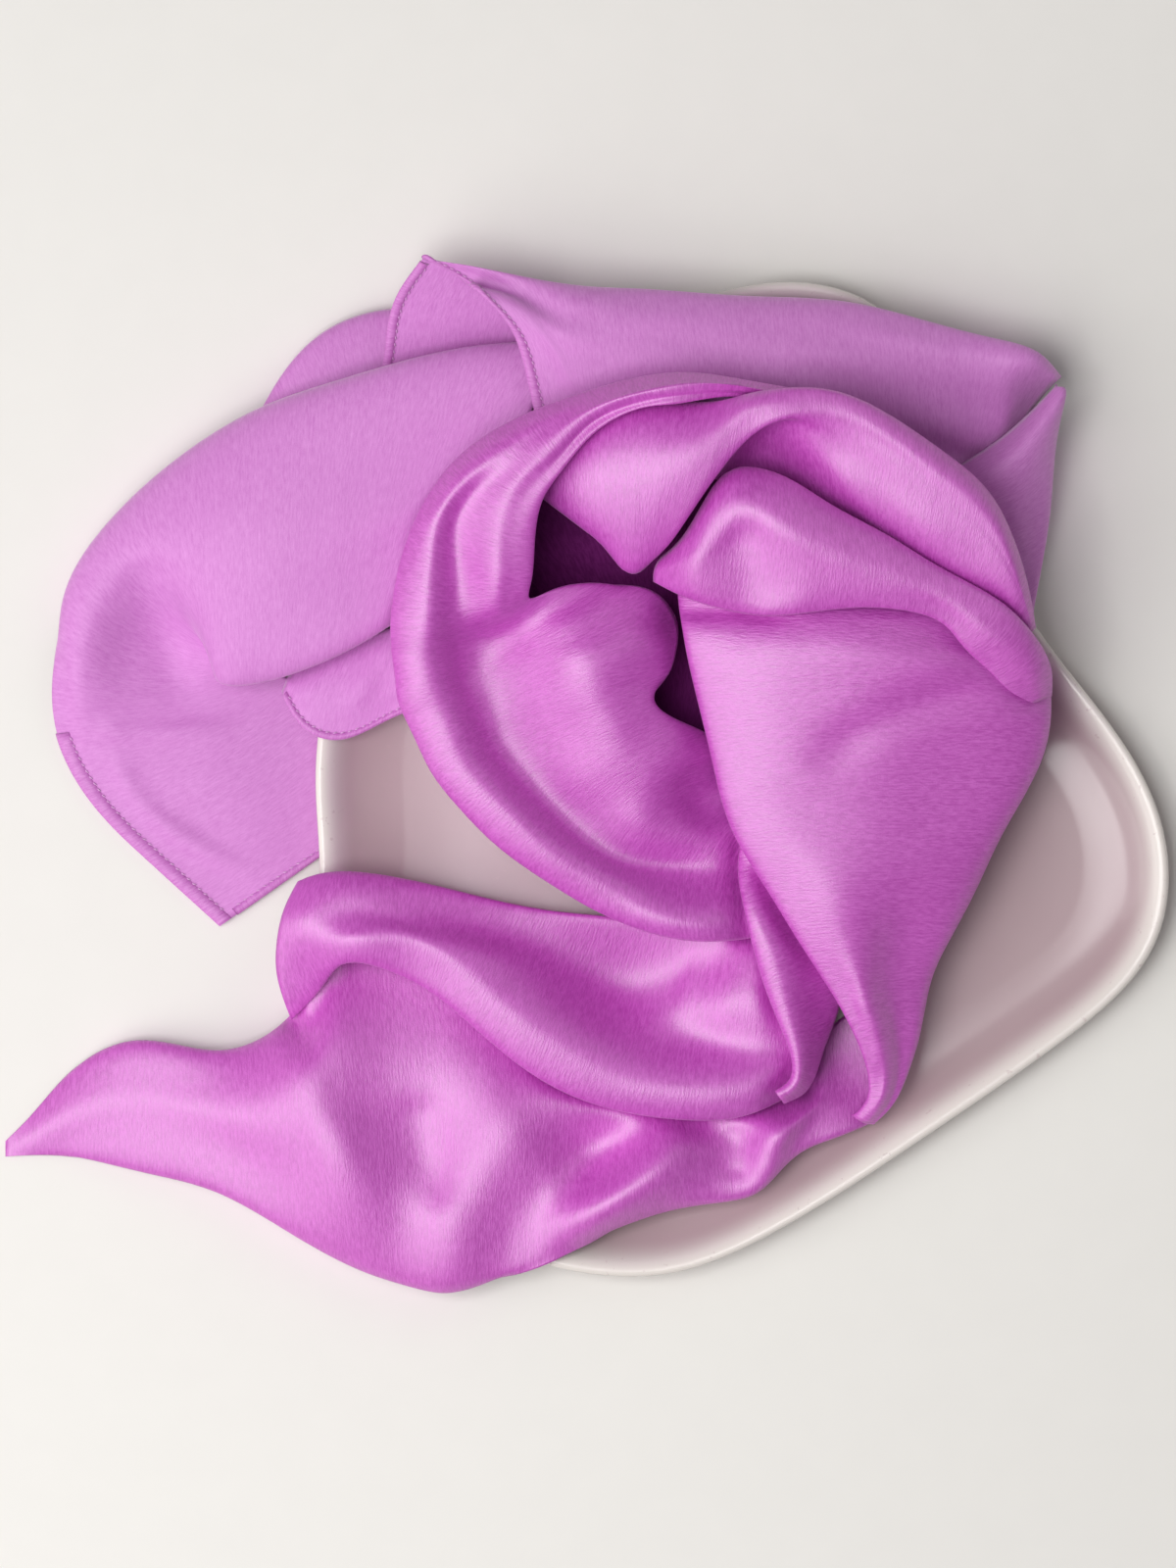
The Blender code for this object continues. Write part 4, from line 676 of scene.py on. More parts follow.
@dataclass
class MeshMaker:
    """Gathers points and faces, with a place on the weave for each point, and makes one piece of them."""

    name: str
    points: list[Array] = field(default_factory=list)
    weave: list[Array] = field(default_factory=list)
    faces: list[tuple[int, ...]] = field(default_factory=list)

    def add_points(self, points: Array, weave: Optional[Array] = None) -> Array:
        """Adds points.

        Args:
            points: The points, in the tables' millimetres.
            weave: Their places on the weave, in millimetres, if they are cloth.

        Returns:
            Their numbers, in the same rows and columns.
        """
        first = sum(map(len, self.points))
        self.points.append(points.reshape(-1, 3))
        count = len(self.points[-1])
        self.weave.append(np.zeros((count, 2)) if weave is None else weave.reshape(-1, 2))
        return first + np.arange(count).reshape(points.shape[:-1])

    def add_faces(self, *corners: Array) -> None:
        """Adds faces: the numbers of their first corners, then of their second ones, and so on."""
        self.faces += map(tuple, np.stack(corners, axis=-1).reshape(-1, len(corners)).tolist())

    def add_grid(self, points: Array, weave: Optional[Array] = None, wraps: bool = False) -> Array:
        """Adds a grid of points and the faces between them.

        Args:
            points: Rows by columns by three.
            weave: Rows by columns by two.
            wraps: Whether the last column joins the first.

        Returns:
            The points' numbers, rows by columns.
        """
        number = self.add_points(points, weave)
        joined = np.concatenate([number, number[:, :1]], axis=1) if wraps else number
        self.add_faces(joined[:-1, :-1], joined[1:, :-1], joined[1:, 1:], joined[:-1, 1:])
        return number

    def add_band(self, outer: Array, inner: Array) -> None:
        """Adds the faces between two closed rings of point numbers."""
        self.add_faces(outer, inner, np.roll(inner, -1), np.roll(outer, -1))

    def add_fan(self, ring: Array, middle: Array, weave: Optional[Array] = None) -> None:
        """Closes a ring of point numbers with faces to its middle."""
        tip = self.add_points(middle[None], weave)
        self.add_faces(ring, np.roll(ring, -1), np.repeat(tip, len(ring)))

    def add_tube(self, rings: Array, weave: Optional[Array] = None) -> None:
        """Adds a tube with flat ends, clear of the table.

        Args:
            rings: Its rings of points.
            weave: Their places on the weave, if they are cloth.
        """
        rings[:, :, 2] = np.maximum(rings[:, :, 2], OFF_TABLE)
        number = self.add_grid(rings, weave, wraps=True)
        self.faces += [tuple(end.tolist()) for end in (number[0, ::-1], number[-1])]

    def add_shell(self, front: Array, back: Array, weave: Array) -> None:
        """Adds the closed shell between two grids of the same size.

        Args:
            front: The grid that shows.
            back: The grid behind it.
            weave: The places on the weave of both.
        """
        top = self.add_grid(front, weave)
        under = self.add_grid(back[:, ::-1], weave[:, ::-1])[:, ::-1]
        edges = [np.concatenate([n[:-1, 0], n[-1, :-1], n[:0:-1, -1], n[0, :0:-1]]) for n in (top, under)]
        self.add_band(*edges)

    def make(self, finish: Finish) -> Piece:
        """Makes the piece.

        Args:
            finish: Its material.

        Returns:
            The object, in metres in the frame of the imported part.
        """
        shift = np.array([*PLAN_MIDDLE, 0.0])
        mesh = bpy.data.meshes.new(self.name)
        mesh.from_pydata(((np.concatenate(self.points) - shift) * MM).tolist(), [], self.faces)
        mesh.update()
        layer = mesh.uv_layers.new(name="weave")
        corners = np.empty(len(mesh.loops), np.int32)
        mesh.loops.foreach_get("vertex_index", corners)
        layer.data.foreach_set("uv", (np.concatenate(self.weave) * MM)[corners].astype(np.float32).ravel())
        mesh.shade_smooth()
        mesh.materials.append(finish)
        piece = bpy.data.objects.new(self.name, mesh)
        bpy.context.scene.collection.objects.link(piece)
        return piece


@dataclass(frozen=True)
class Undulation:
    """The small uneven waves of the silk, in millimetres."""

    rise: float = 0.2
    gap: float = 11.0
    run: float = 34.0
    patch: float = 46.0
    fine_share: float = 0.4
    fine_run: float = 0.45  # of the run
    fine_gap: float = 0.4  # of the gap
    usual: float = 0.55
    least: float = 0.15
    wave_seed: int = 5
    fine_seed: int = 11
    seeds: int = 97

    def seed(self, name: str) -> float:
        """A number of its own for each name."""
        return float(sum(map(ord, name)) % self.seeds)

    def lift(self, u: float, v: float, seed: float) -> float:
        """How far it lifts a place on the weave.

        Args:
            u: The place across the stretch.
            v: The place along it.
            seed: Which pattern of waves.

        Returns:
            The lift.
        """
        patch = noise.noise(Vector((u / self.patch, v / self.patch, seed)))
        wave = noise.noise(Vector((u / self.run, v / self.gap, seed + self.wave_seed)))
        fine = self.run * self.fine_run, self.gap * self.fine_gap
        ripple = noise.noise(Vector((u / fine[0], v / fine[1], seed + self.fine_seed)))
        waves = wave + self.fine_share * ripple
        return waves * self.rise * max(self.least, self.usual + patch)


@dataclass(frozen=True)
class Crease:
    """A soft ridge or trough along a curve through three places of the plan."""

    start: Array
    middle: Array
    end: Array
    width: float
    rise: float
    points: int = 41
    taper: float = 4.0
    swing: float = 0.22
    swing_pace: float = 11.0
    swing_shift: float = 5.0
    least: float = 0.02

    def lift(self, plan: Array) -> Array:
        """How far it lifts each point.

        Args:
            plan: Rows by columns by two.

        Returns:
            The lift, in millimetres, negative in a trough.
        """
        t = np.linspace(0, 1, self.points)[:, None]
        pull = 2 * self.middle - (self.start + self.end) / 2
        curve = (1 - t) ** 2 * self.start + 2 * t * (1 - t) * pull + t**2 * self.end
        away = np.linalg.norm(plan[:, :, None] - curve, axis=3)
        along = away.argmin(axis=2) / (len(curve) - 1)
        taper = smooth_step(np.minimum(along, 1 - along) * self.taper + self.least)
        uneven = 1 + self.swing * np.sin(along * self.swing_pace + self.width * self.swing_shift)
        return self.rise * uneven * taper * np.exp(-((away.min(axis=2) / self.width) ** 2))


@dataclass(frozen=True)
class Stretch:
    """One stretch of the scarf that shows: sections lofted into a skin, with its outer edges turned under."""

    name: str
    side: Side
    held: Held
    rests_on: list[str]

    def turned_under(self, net: Array, turn: Array) -> Array:
        """Adds the turned-under part of one edge.

        Args:
            net: Sections by points by three, from that edge inwards.
            turn: The roll's radius and how far the cloth hangs below it, for each section.

        Returns:
            The net with two more points a row: the end of the roll's underside, and its shoulder.
        """
        edge, inner = net[:, 0], net[:, 1]
        span = inner - edge
        inward = unit(span * (1.0, 1.0, 0.0))
        down = np.array([0.0, 0.0, -1.0])
        roll, hang = turn[:, :1], turn[:, 1:]
        under = edge + inward * (LOFT.under_in * roll + LOFT.hang_lean * hang)
        under += down * (LOFT.under_down * roll + hang + LOFT.under_lap)
        shoulder = edge + inward * LOFT.shoulder_in * roll + down * LOFT.shoulder_down * roll
        rolled = np.stack([under, shoulder, edge], axis=1)
        flat = edge[:, None] + span[:, None] * np.array(LOFT.flat_shares)[:, None]
        share = np.clip(roll / LOFT.full_roll, 0, 1)[:, None]
        return np.concatenate([flat + (rolled - flat) * share, net[:, 1:]], axis=1)

    def control_net(self) -> Array:
        """Places the points of its sections, edge to edge.

        Returns:
            Sections by points by three.
        """
        table = read_table(SECTIONS[self.name])
        near, far = table["near"], table["far"]
        span = (far - near)[:, :2]
        width = np.linalg.norm(span, axis=1)
        inward = unit(span)
        left = np.stack([-inward[:, 1], inward[:, 0]], axis=1)
        points = [near]
        for name in table:
            if name not in LOFT.edge_columns:
                inset, up = table[name].T
                share = inset / width
                swing = table["bow"] * 4 * share * (1 - share)
                plan = near[:, :2] + inward * inset[:, None] + left * swing[:, None]
                points.append(np.column_stack([plan, up]))
        net = self.turned_under(np.stack(points + [far], axis=1), table["turn"])
        return self.turned_under(net[:, ::-1], table["far_turn"])[:, ::-1]

    def loft(self) -> "Skin":
        """Lofts its sections into a skin.

        Returns:
            The skin, before anything presses it.
        """
        net = self.control_net()
        along, across = (running(gaps(net, axis).mean(axis=1 - axis)) for axis in (0, 1))
        rows, _ = stations(along, LOFT.step_along)
        columns, at_knots = stations(across, LOFT.step_across)
        weights = spline_weights(along, rows), spline_weights(across, columns)
        inner = at_knots[LOFT.edge_knots], len(columns) - 1 - at_knots[-1 - LOFT.edge_knots]
        return Skin(self.name, np.einsum("ui,vj,ijk->uvk", *weights, net), rows, inner)


@dataclass
class Skin:
    """The worked-out surface of a stretch."""

    name: str
    points: Array
    rows: Array
    edge_columns: tuple[int, int]

    def weave(self) -> Array:
        """Lays its points out on the weave.

        Returns:
            Their places, across from the middle of the stretch and along it, in millimetres.
        """
        run = running(gaps(self.points, 1))
        run -= run[:, run.shape[1] // 2, None]
        return np.stack(np.broadcast_arrays(run, self.rows[:, None]), axis=2)

    def raise_by(self, lift: Array) -> None:
        """Moves the parts that face up out along their normals.

        Args:
            lift: How far, for each point, in millimetres.
        """
        normals = upward_normals(self.points)
        facing = smooth_step((normals[:, :, 2] - PRESS.upright) / PRESS.upright_fade)
        self.points += normals * (lift * facing)[:, :, None]

    def shape(self, creases: Sequence[Crease], waves: Undulation) -> None:
        """Gives it its creases, and the small uneven waves that silk keeps.

        Args:
            creases: Its creases.
            waves: The waves.
        """
        self.raise_by(sum((crease.lift(self.points[:, :, :2]) for crease in creases), 0.0))
        seed = waves.seed(self.name)
        lifts = [waves.lift(u, v, seed) for u, v in self.weave().reshape(-1, 2)]
        self.raise_by(np.reshape(lifts, self.points.shape[:2]))

    def press(self, ceiling: PlanMap, floor: PlanMap, low: float) -> None:
        """Presses it down under what lies over it, and lifts it onto what it lies on.

        Args:
            ceiling: The height below which it passes.
            floor: The height on which it lies.
            low: What is lower than this lies on the table, under the dish's rim.
        """
        skin = self.points
        change = np.minimum(ceiling.at(skin) - PRESS.air - skin[:, :, 2], 0)
        first, last = self.edge_columns
        for column in range(first, 0, -1):  # a turned-under edge goes down with what lies over it
            change[:, column - 1] = np.minimum(change[:, column - 1], change[:, column])
        for column in range(last, 0, -1):
            change[:, -column] = np.minimum(change[:, -column], change[:, -column - 1])
        for _ in range(PRESS.softenings):
            padded = np.pad(change, 1, mode="edge")
            soft = (padded[2:, 1:-1] + padded[:-2, 1:-1] + padded[1:-1, 2:] + padded[1:-1, :-2]) / 4
            change = np.minimum(change, 0.5 * (change + soft))
        skin[:, :, 2] += change
        rest = np.where(skin[:, :, 2] < low, 0.0, floor.at(skin))
        lowest = rest + LOFT.wall + np.where(rest > 0, PRESS.rests, 0.0)
        skin[:, :, 2] = np.maximum(skin[:, :, 2], lowest)

    def back(self) -> Array:
        """Works out its hidden side.

        Returns:
            The grid a wall's thickness behind it.
        """
        back = self.points - upward_normals(self.points) * LOFT.wall
        back[:, :, 2] = np.maximum(back[:, :, 2], 0.0)
        return back

    def cut(self) -> tuple[float, float, float]:
        """Measures the flat cloth that it takes.

        Returns:
            Its width, length and area, in metres and square metres.
        """
        p = self.points
        width, length = gaps(p, 1).sum(axis=1).max(), gaps(p).sum(axis=0).max()
        sides = np.cross(p[1:, 1:] - p[:-1, :-1], p[:-1, 1:] - p[1:, :-1])
        area = np.linalg.norm(sides, axis=2).sum() / 2
        return width * MM, length * MM, max(area, LEAST_FILL * width * length) * MM * MM

    def make(self, finish: Finish) -> Piece:
        """Makes its piece, a thin closed shell.

        Args:
            finish: Its material.

        Returns:
            The object.
        """
        maker = MeshMaker(f"silk_{self.name}")
        maker.add_shell(self.points, self.back(), self.weave())
        return maker.make(finish)


@dataclass(frozen=True)
class Hem:
    """A rolled hem along one edge of a stretch, with its row of stitches."""

    name: str
    stretch: str
    edge: Edge
    start: float
    stop: float
    width: float
    swell: float = 0.1
    swell_run: float = 5.0
    swell_seed: float = 3.0
    softenings: int = 3
    stitch_gap: float = 2.7
    stitch_length: float = 1.9
    stitch_radius: float = 0.26
    stitch_slant: float = 0.42
    stitch_in: float = 1.02  # of the width
    stitch_up: float = 0.42
    stitch_bend: float = 0.3
    stitch_tip: float = 0.06  # how far a stitch narrows at its ends, as the square of the share left
    stitch_rings: int = 5
    stitch_sides: int = 6
    # the roll's outline: in from the edge as a share of the width, and height
    outline: tuple[tuple[float, float], ...] = (
        (0.02, -0.75), (-0.12, -0.35), (-0.13, 0.15), (-0.02, 0.62), (0.2, 0.98), (0.45, 1.1),
        (0.72, 0.96), (0.93, 0.55), (1.03, 0.1), (1.04, -0.3), (0.5, -0.42),
    )

    def frames(self, skin: Skin) -> tuple[Array, Array, Array, Array]:
        """Reads the edge that it is sewn along.

        Args:
            skin: The stretch's surface.

        Returns:
            For each point of the edge, its place, the way in, the way up, and the length up to it.
        """
        whole = np.concatenate([skin.points, upward_normals(skin.points)], axis=2)
        across = np.swapaxes(whole, 0, 1)
        rows = {Edge.FIRST: across, Edge.LAST: across[:, ::-1], Edge.FAR: whole[:, ::-1]}[self.edge]
        last = len(rows) - 1
        rows = rows[round(self.start * last) : round(self.stop * last) + 1]
        runs = running(gaps(rows[:, :, :3], 1))
        inner = np.array([at_length(row, run, self.width) for row, run in zip(rows, runs)])
        edge = rows[:, 0, :3]
        inward, up = unit(inner[:, :3] - edge), rows[:, 0, 3:] + inner[:, 3:]
        for way in (inward, up) * self.softenings:
            way[1:-1] = (way[:-2] + 2 * way[1:-1] + way[2:]) / 4
        up -= inward * (up * inward).sum(axis=1, keepdims=True)
        return edge, inward, unit(up), running(gaps(edge))

    def make_roll(self, skin: Skin, finish: Finish) -> Piece:
        """Makes the rolled edge.

        Args:
            skin: The stretch's surface.
            finish: Its material.

        Returns:
            The object.
        """
        edge, inward, up, run = self.frames(skin)
        swells = [noise.noise(Vector((place / self.swell_run, self.width, self.swell_seed))) for place in run]
        inset, height = np.array(self.outline).T * ((self.width,), (1.0,))
        heights = height * (1 + self.swell * np.array(swells))[:, None]
        rings = edge[:, None] + inward[:, None] * inset[:, None] + up[:, None] * heights[:, :, None]
        maker = MeshMaker(f"silk_{self.name}")
        maker.add_tube(rings, np.stack(np.broadcast_arrays(inset, run[:, None]), axis=2))
        return maker.make(finish)

    def make_stitches(self, skin: Skin, finish: Finish) -> Piece:
        """Makes its row of small slanted stitches.

        Args:
            skin: The stretch's surface.
            finish: The thread's material.

        Returns:
            The object.
        """
        edge, inward, up, run = self.frames(skin)
        lines = np.stack([edge, inward, up, unit(np.gradient(edge, axis=0))], axis=1)
        maker = MeshMaker(f"thread_{self.name}")
        turn = np.linspace(0, 2 * math.pi, self.stitch_sides, endpoint=False)[:, None]
        t = np.linspace(-1, 1, self.stitch_rings)[:, None, None]
        thick = self.stitch_radius * np.sqrt(np.maximum(self.stitch_tip, 1 - t * t))
        for place in np.arange(self.stitch_gap, run[-1] - self.stitch_gap, self.stitch_gap):
            base, into, out, along = at_length(lines, run, place)
            lean = unit(into * self.stitch_slant + along)
            middle = base + into * self.width * self.stitch_in + out * self.stitch_up
            line = middle + lean * t * self.stitch_length / 2 - out * self.stitch_bend * t * t
            maker.add_tube(line + thick * (np.cross(lean, out) * np.cos(turn) + out * np.sin(turn)))
        return maker.make(finish)


@dataclass
class Dish:
    """The shallow glazed dish, a rounded triangle, turned in rings from its foot round the rim."""

    outline: str
    wall: str
    centre: tuple[float, float] = (54.0, -2.0)
    spokes: int = 200
    ring_step: float = 2.2
    floor_up: float = 6.5
    floor_rings: tuple[float, ...] = (0.8, 0.6, 0.4, 0.2)
    lap: int = 3  # points of the outline that are read again past its ends
    map_lap: int = 3  # rings under the rim's top that the map of its surface still takes in
    map_start: float = 0.95  # where the map's rings over the inner floor start, as a share of its reach
    map_rings: int = 30

    def edge(self) -> Array:
        """Spreads points evenly round its outline.

        Returns:
            Their places in plan.
        """
        points = np.array(table_rows(self.outline))
        wrapped = np.concatenate([points[-self.lap :], points, points[: self.lap + 1]])
        knots = running(gaps(wrapped))
        places = np.linspace(knots[self.lap], knots[self.lap + len(points)], self.spokes, endpoint=False)
        return spline_weights(knots, places) @ wrapped

    def rings(self) -> Array:
        """Works out its surface.

        Returns:
            Its rings of points, from the foot round the rim to the inner floor.
        """
        profile = np.array(table_rows(self.wall))
        run = running(gaps(profile))
        places, _ = stations(run, self.ring_step)
        inset, up = (spline_weights(run, places) @ profile).T[:, :, None]
        centre, edge = np.array(self.centre), self.edge()
        reach = np.linalg.norm(edge - centre, axis=1)
        plan = centre + unit(edge - centre) * (reach - inset)[:, :, None]
        up = np.broadcast_to(np.maximum(up, 0.0), plan.shape[:2])
        return np.concatenate([plan, up[:, :, None]], axis=2)

    def floor(self) -> PlanMap:
        """Maps what the scarf lies on.

        Returns:
            The height of its upper surface, the rim a little wide, and of the table elsewhere.
        """
        rings = self.rings()
        top = int(rings[:, 0, 2].argmax())
        middle = np.array([*self.centre, self.floor_up])
        shares = np.linspace(self.map_start, 0, self.map_rings)
        inner = [middle + (rings[-1] - middle) * share for share in shares]
        grid = np.array([*rings[top - self.map_lap :], *inner])
        cloud = filled([np.concatenate([grid, grid[:, :1]], axis=1)])
        depths = PlanMap.level(0.0).lowered_to(cloud * (1.0, 1.0, -1.0))
        depths = depths.spread_down(PRESS.rim_margin, 0.0).spread_down(PRESS.rim_spread, 1.0)
        return PlanMap(-depths.heights)

    def make(self, finish: Finish) -> Piece:
        """Makes its piece.

        Args:
            finish: The glaze's material.

        Returns:
            The object.
        """
        maker = MeshMaker("glazed_dish_body")
        rings = self.rings()
        number = maker.add_grid(rings, rings[:, :, :2], wraps=True)
        foot, middle = (np.array([*self.centre, up]) for up in (0.0, self.floor_up))
        maker.add_fan(number[0, ::-1], foot, foot[:2])
        inner = number[-1]
        for share in self.floor_rings:
            ring = middle + (rings[-1] - middle) * share
            outer, inner = inner, maker.add_points(ring, ring[:, :2])
            maker.add_band(outer, inner)
        maker.add_fan(inner, middle, middle[:2])
        return maker.make(finish)


@dataclass
class Core:
    """The hidden layers inside the heap: one swirled layer of cloth over the dish, under all the rest."""

    outline: str
    centre: tuple[float, float] = (32.0, 8.0)
    top: float = 66.0
    pit_up: float = 9.0
    shoulder_up: float = 4.0
    crown: float = 0.98
    last_turn: float = 0.05
    spokes: int = 150
    ring_count: int = 60
    air: float = 2.0
    off_floor: float = 1.2
    slope: float = 1.5
    spread: float = 30.0
    folds: int = 7
    fold_swirl: float = 9.0
    fold_rise: float = 1.6
    lap: float = 1.05
    weave_reach: float = 60.0

    def shell(self, over: PlanMap, floor: PlanMap, dish: Dish) -> tuple[Array, Array]:
        """Works out its surface.

        Args:
            over: The lowest cloth over each cell, and a high number where there is none.
            floor: The height on which it lies.
            dish: The dish that it lies in.

        Returns:
            Its rings of points, and their places on the weave.
        """
        open_sky = np.where(over.heights >= NO_LIMIT, self.pit_up, over.heights)
        ceiling = PlanMap(open_sky).spread_down(PRESS.margin, 0.0).spread_down(self.spread, self.slope)
        degrees, reaches = np.array(table_rows(self.outline)).T
        turn = np.radians(np.linspace(0, 360, self.spokes, endpoint=False))
        reach = np.interp(turn, np.radians([*degrees, 360]), [*reaches, reaches[0]]) * self.lap
        share = np.sin(np.linspace(math.pi / 2, self.last_turn, self.ring_count))[:, None]
        way = np.stack([np.cos(turn), np.sin(turn)], axis=1)
        plan = np.array(self.centre) + way * (reach * share)[:, :, None]
        shoulder = dish.floor_up + self.shoulder_up
        up = shoulder + (self.top - shoulder) * np.sqrt(1 - self.crown * share**2)
        fold = self.fold_rise * 0.5 * (np.sin(turn * self.folds + share * self.fold_swirl) - 1)
        heights = np.minimum(up, ceiling.at(plan) - self.air + fold)
        heights = np.maximum(heights, floor.at(plan) + self.off_floor)
        skin = np.concatenate([plan, heights[:, :, None]], axis=2)
        run = running(gaps(skin).mean(axis=1))[:, None]
        return skin, np.stack(np.broadcast_arrays(run, turn * self.weave_reach), axis=2)

    def make(self, skin: Array, weave: Array, finish: Finish) -> Piece:
        """Makes its piece.

        Args:
            skin: Its rings of points.
            weave: Their places on the weave.
            finish: The silk's material, a dark copy of the face silk painted with the shade deep in the heap.

        Returns:
            The object.
        """
        maker = MeshMaker("silk_core")
        closed_skin = np.concatenate([skin, skin[:, :1]], axis=1)
        under = skin - upward_normals(closed_skin)[:, :-1] * LOFT.wall
        top = maker.add_grid(skin, weave, wraps=True)
        low = maker.add_grid(under[::-1], weave[::-1], wraps=True)[::-1]
        maker.add_band(low[0], top[0])
        maker.add_fan(top[-1], skin[-1].mean(axis=0))
        maker.add_fan(low[-1, ::-1], under[-1].mean(axis=0))
        return maker.make(finish)


HEMS = (
    Hem("hem_corner", "drape_left", edge=Edge.FAR, start=0.70, stop=1.0, width=4.6),
    Hem("hem_end", "drape_left", edge=Edge.LAST, start=0.04, stop=0.80, width=2.6),
    Hem("hem_arch", "band_back", edge=Edge.FIRST, start=0.04, stop=0.99, width=3.2),
    Hem("hem_arch_left", "arch_inner", edge=Edge.FIRST, start=0.03, stop=0.98, width=3.0),
    Hem("hem_flap", "flap_hem", edge=Edge.FAR, start=0.02, stop=0.98, width=2.4),
)


def arithmetic(operation: str, swapped: bool = False) -> Callable[["Wire", "Value"], "Wire"]:
    """Makes an operator for wires.

    Args:
        operation: The maths node's operation.
        swapped: Whether the wire comes second.

    Returns:
        The method.
    """

    def step(wire: "Wire", other: "Value") -> "Wire":
        """One step of arithmetic between this and another."""
        first, second = (other, wire) if swapped else (wire, other)
        return wire.graph.node("ShaderNodeMath", {0: first, 1: second}, operation=operation)

    return step


@dataclass(frozen=True)
class Wire:
    """One socket of a shader graph that can be used in arithmetic."""

    graph: "Graph"
    socket: bpy.types.NodeSocket

    __add__, __radd__ = arithmetic("ADD"), arithmetic("ADD", swapped=True)
    __sub__, __rsub__ = arithmetic("SUBTRACT"), arithmetic("SUBTRACT", swapped=True)
    __mul__, __rmul__ = arithmetic("MULTIPLY"), arithmetic("MULTIPLY", swapped=True)


Value = Union[Wire, float]
Colour = tuple[float, float, float]
Inputs = dict[Union[str, int], Any]


class Graph:
    """A material's nodes, added as they are asked for."""

    def __init__(self, name: str) -> None:
        """Starts a material with its Principled shader."""
        self.material = bpy.data.materials.new(name)
        self.material.use_nodes = True
        self.tree = self.material.node_tree
        self.shader = next(node for node in self.tree.nodes if node.type == "BSDF_PRINCIPLED")

    def feed(self, node: bpy.types.Node, inputs: Inputs) -> None:
        """Links or sets the sockets of a node.

        Args:
            node: The node.
            inputs: The values or wires of its sockets, by name or number.
        """
        for key, value in inputs.items():
            if isinstance(value, Wire):
                self.tree.links.new(value.socket, node.inputs[key])
            else:
                node.inputs[key].default_value = value

    def finished(self, inputs: Inputs) -> Finish:
        """The material, once its shader has these."""
        self.feed(self.shader, inputs)
        return self.material

    def node(self, kind: str, inputs: Inputs, output: Union[str, int] = 0, **settings: Any) -> Wire:
        """Adds a node.

        Args:
            kind: Its type.
            inputs: The values or wires of its sockets, by name or number.
            output: Which of its outputs is wanted.
            settings: Its own settings, set first.

        Returns:
            That output.
        """
        node = self.tree.nodes.new(kind)
        for name, value in settings.items():
            setattr(node, name, value)
        self.feed(node, inputs)
        return Wire(self, node.outputs[output])

    def mix(self, share: Value, first: Any, second: Any) -> Wire:
        """Blends two colours.

        Args:
            share: The share of the second.
            first: The first, a colour or a wire.
            second: The second, a colour or a wire.

        Returns:
            The blend.
        """
        ends = [(*end, 1.0) if isinstance(end, tuple) else end for end in (first, second)]
        inputs = {0: share, 6: ends[0], 7: ends[1]}
        return self.node("ShaderNodeMix", inputs, 2, data_type="RGBA", clamp_factor=True)

    def place(self) -> Wire:
        """Places on the object, in metres."""
        return self.node("ShaderNodeTexCoord", {}, "Object")

    def weave_at(self, across: float, along: float) -> Wire:
        """Counts places on the weave in cells.

        Args:
            across: Cells to a metre across the stretch.
            along: Cells to a metre along it.

        Returns:
            The places.
        """
        place = self.node("ShaderNodeUVMap", {}, uv_map="weave")
        cells = (across, along, 1.0)
        return self.node("ShaderNodeVectorMath", {0: place, 1: cells}, operation="MULTIPLY")

    def noise(self, place: Wire, scale: float, detail: float, rough: float = 0.5) -> Wire:
        """Soft noise, from 0 to 1."""
        sizes = {"Vector": place, "Scale": scale, "Detail": detail, "Roughness": rough}
        return self.node("ShaderNodeTexNoise", sizes)

    def spread(self, value: Wire, low: float, high: float) -> Wire:
        """The range from low to high spread out to 0 and 1, with soft ends."""
        ends = {"Value": value, "From Min": low, "From Max": high}
        return self.node("ShaderNodeMapRange", ends, interpolation_type="SMOOTHSTEP")

    def bump(self, height: Wire, strength: float, distance: float) -> Wire:
        """The normal that a height gives."""
        sizes = {"Height": height, "Strength": strength, "Distance": distance}
        return self.node("ShaderNodeBump", sizes)


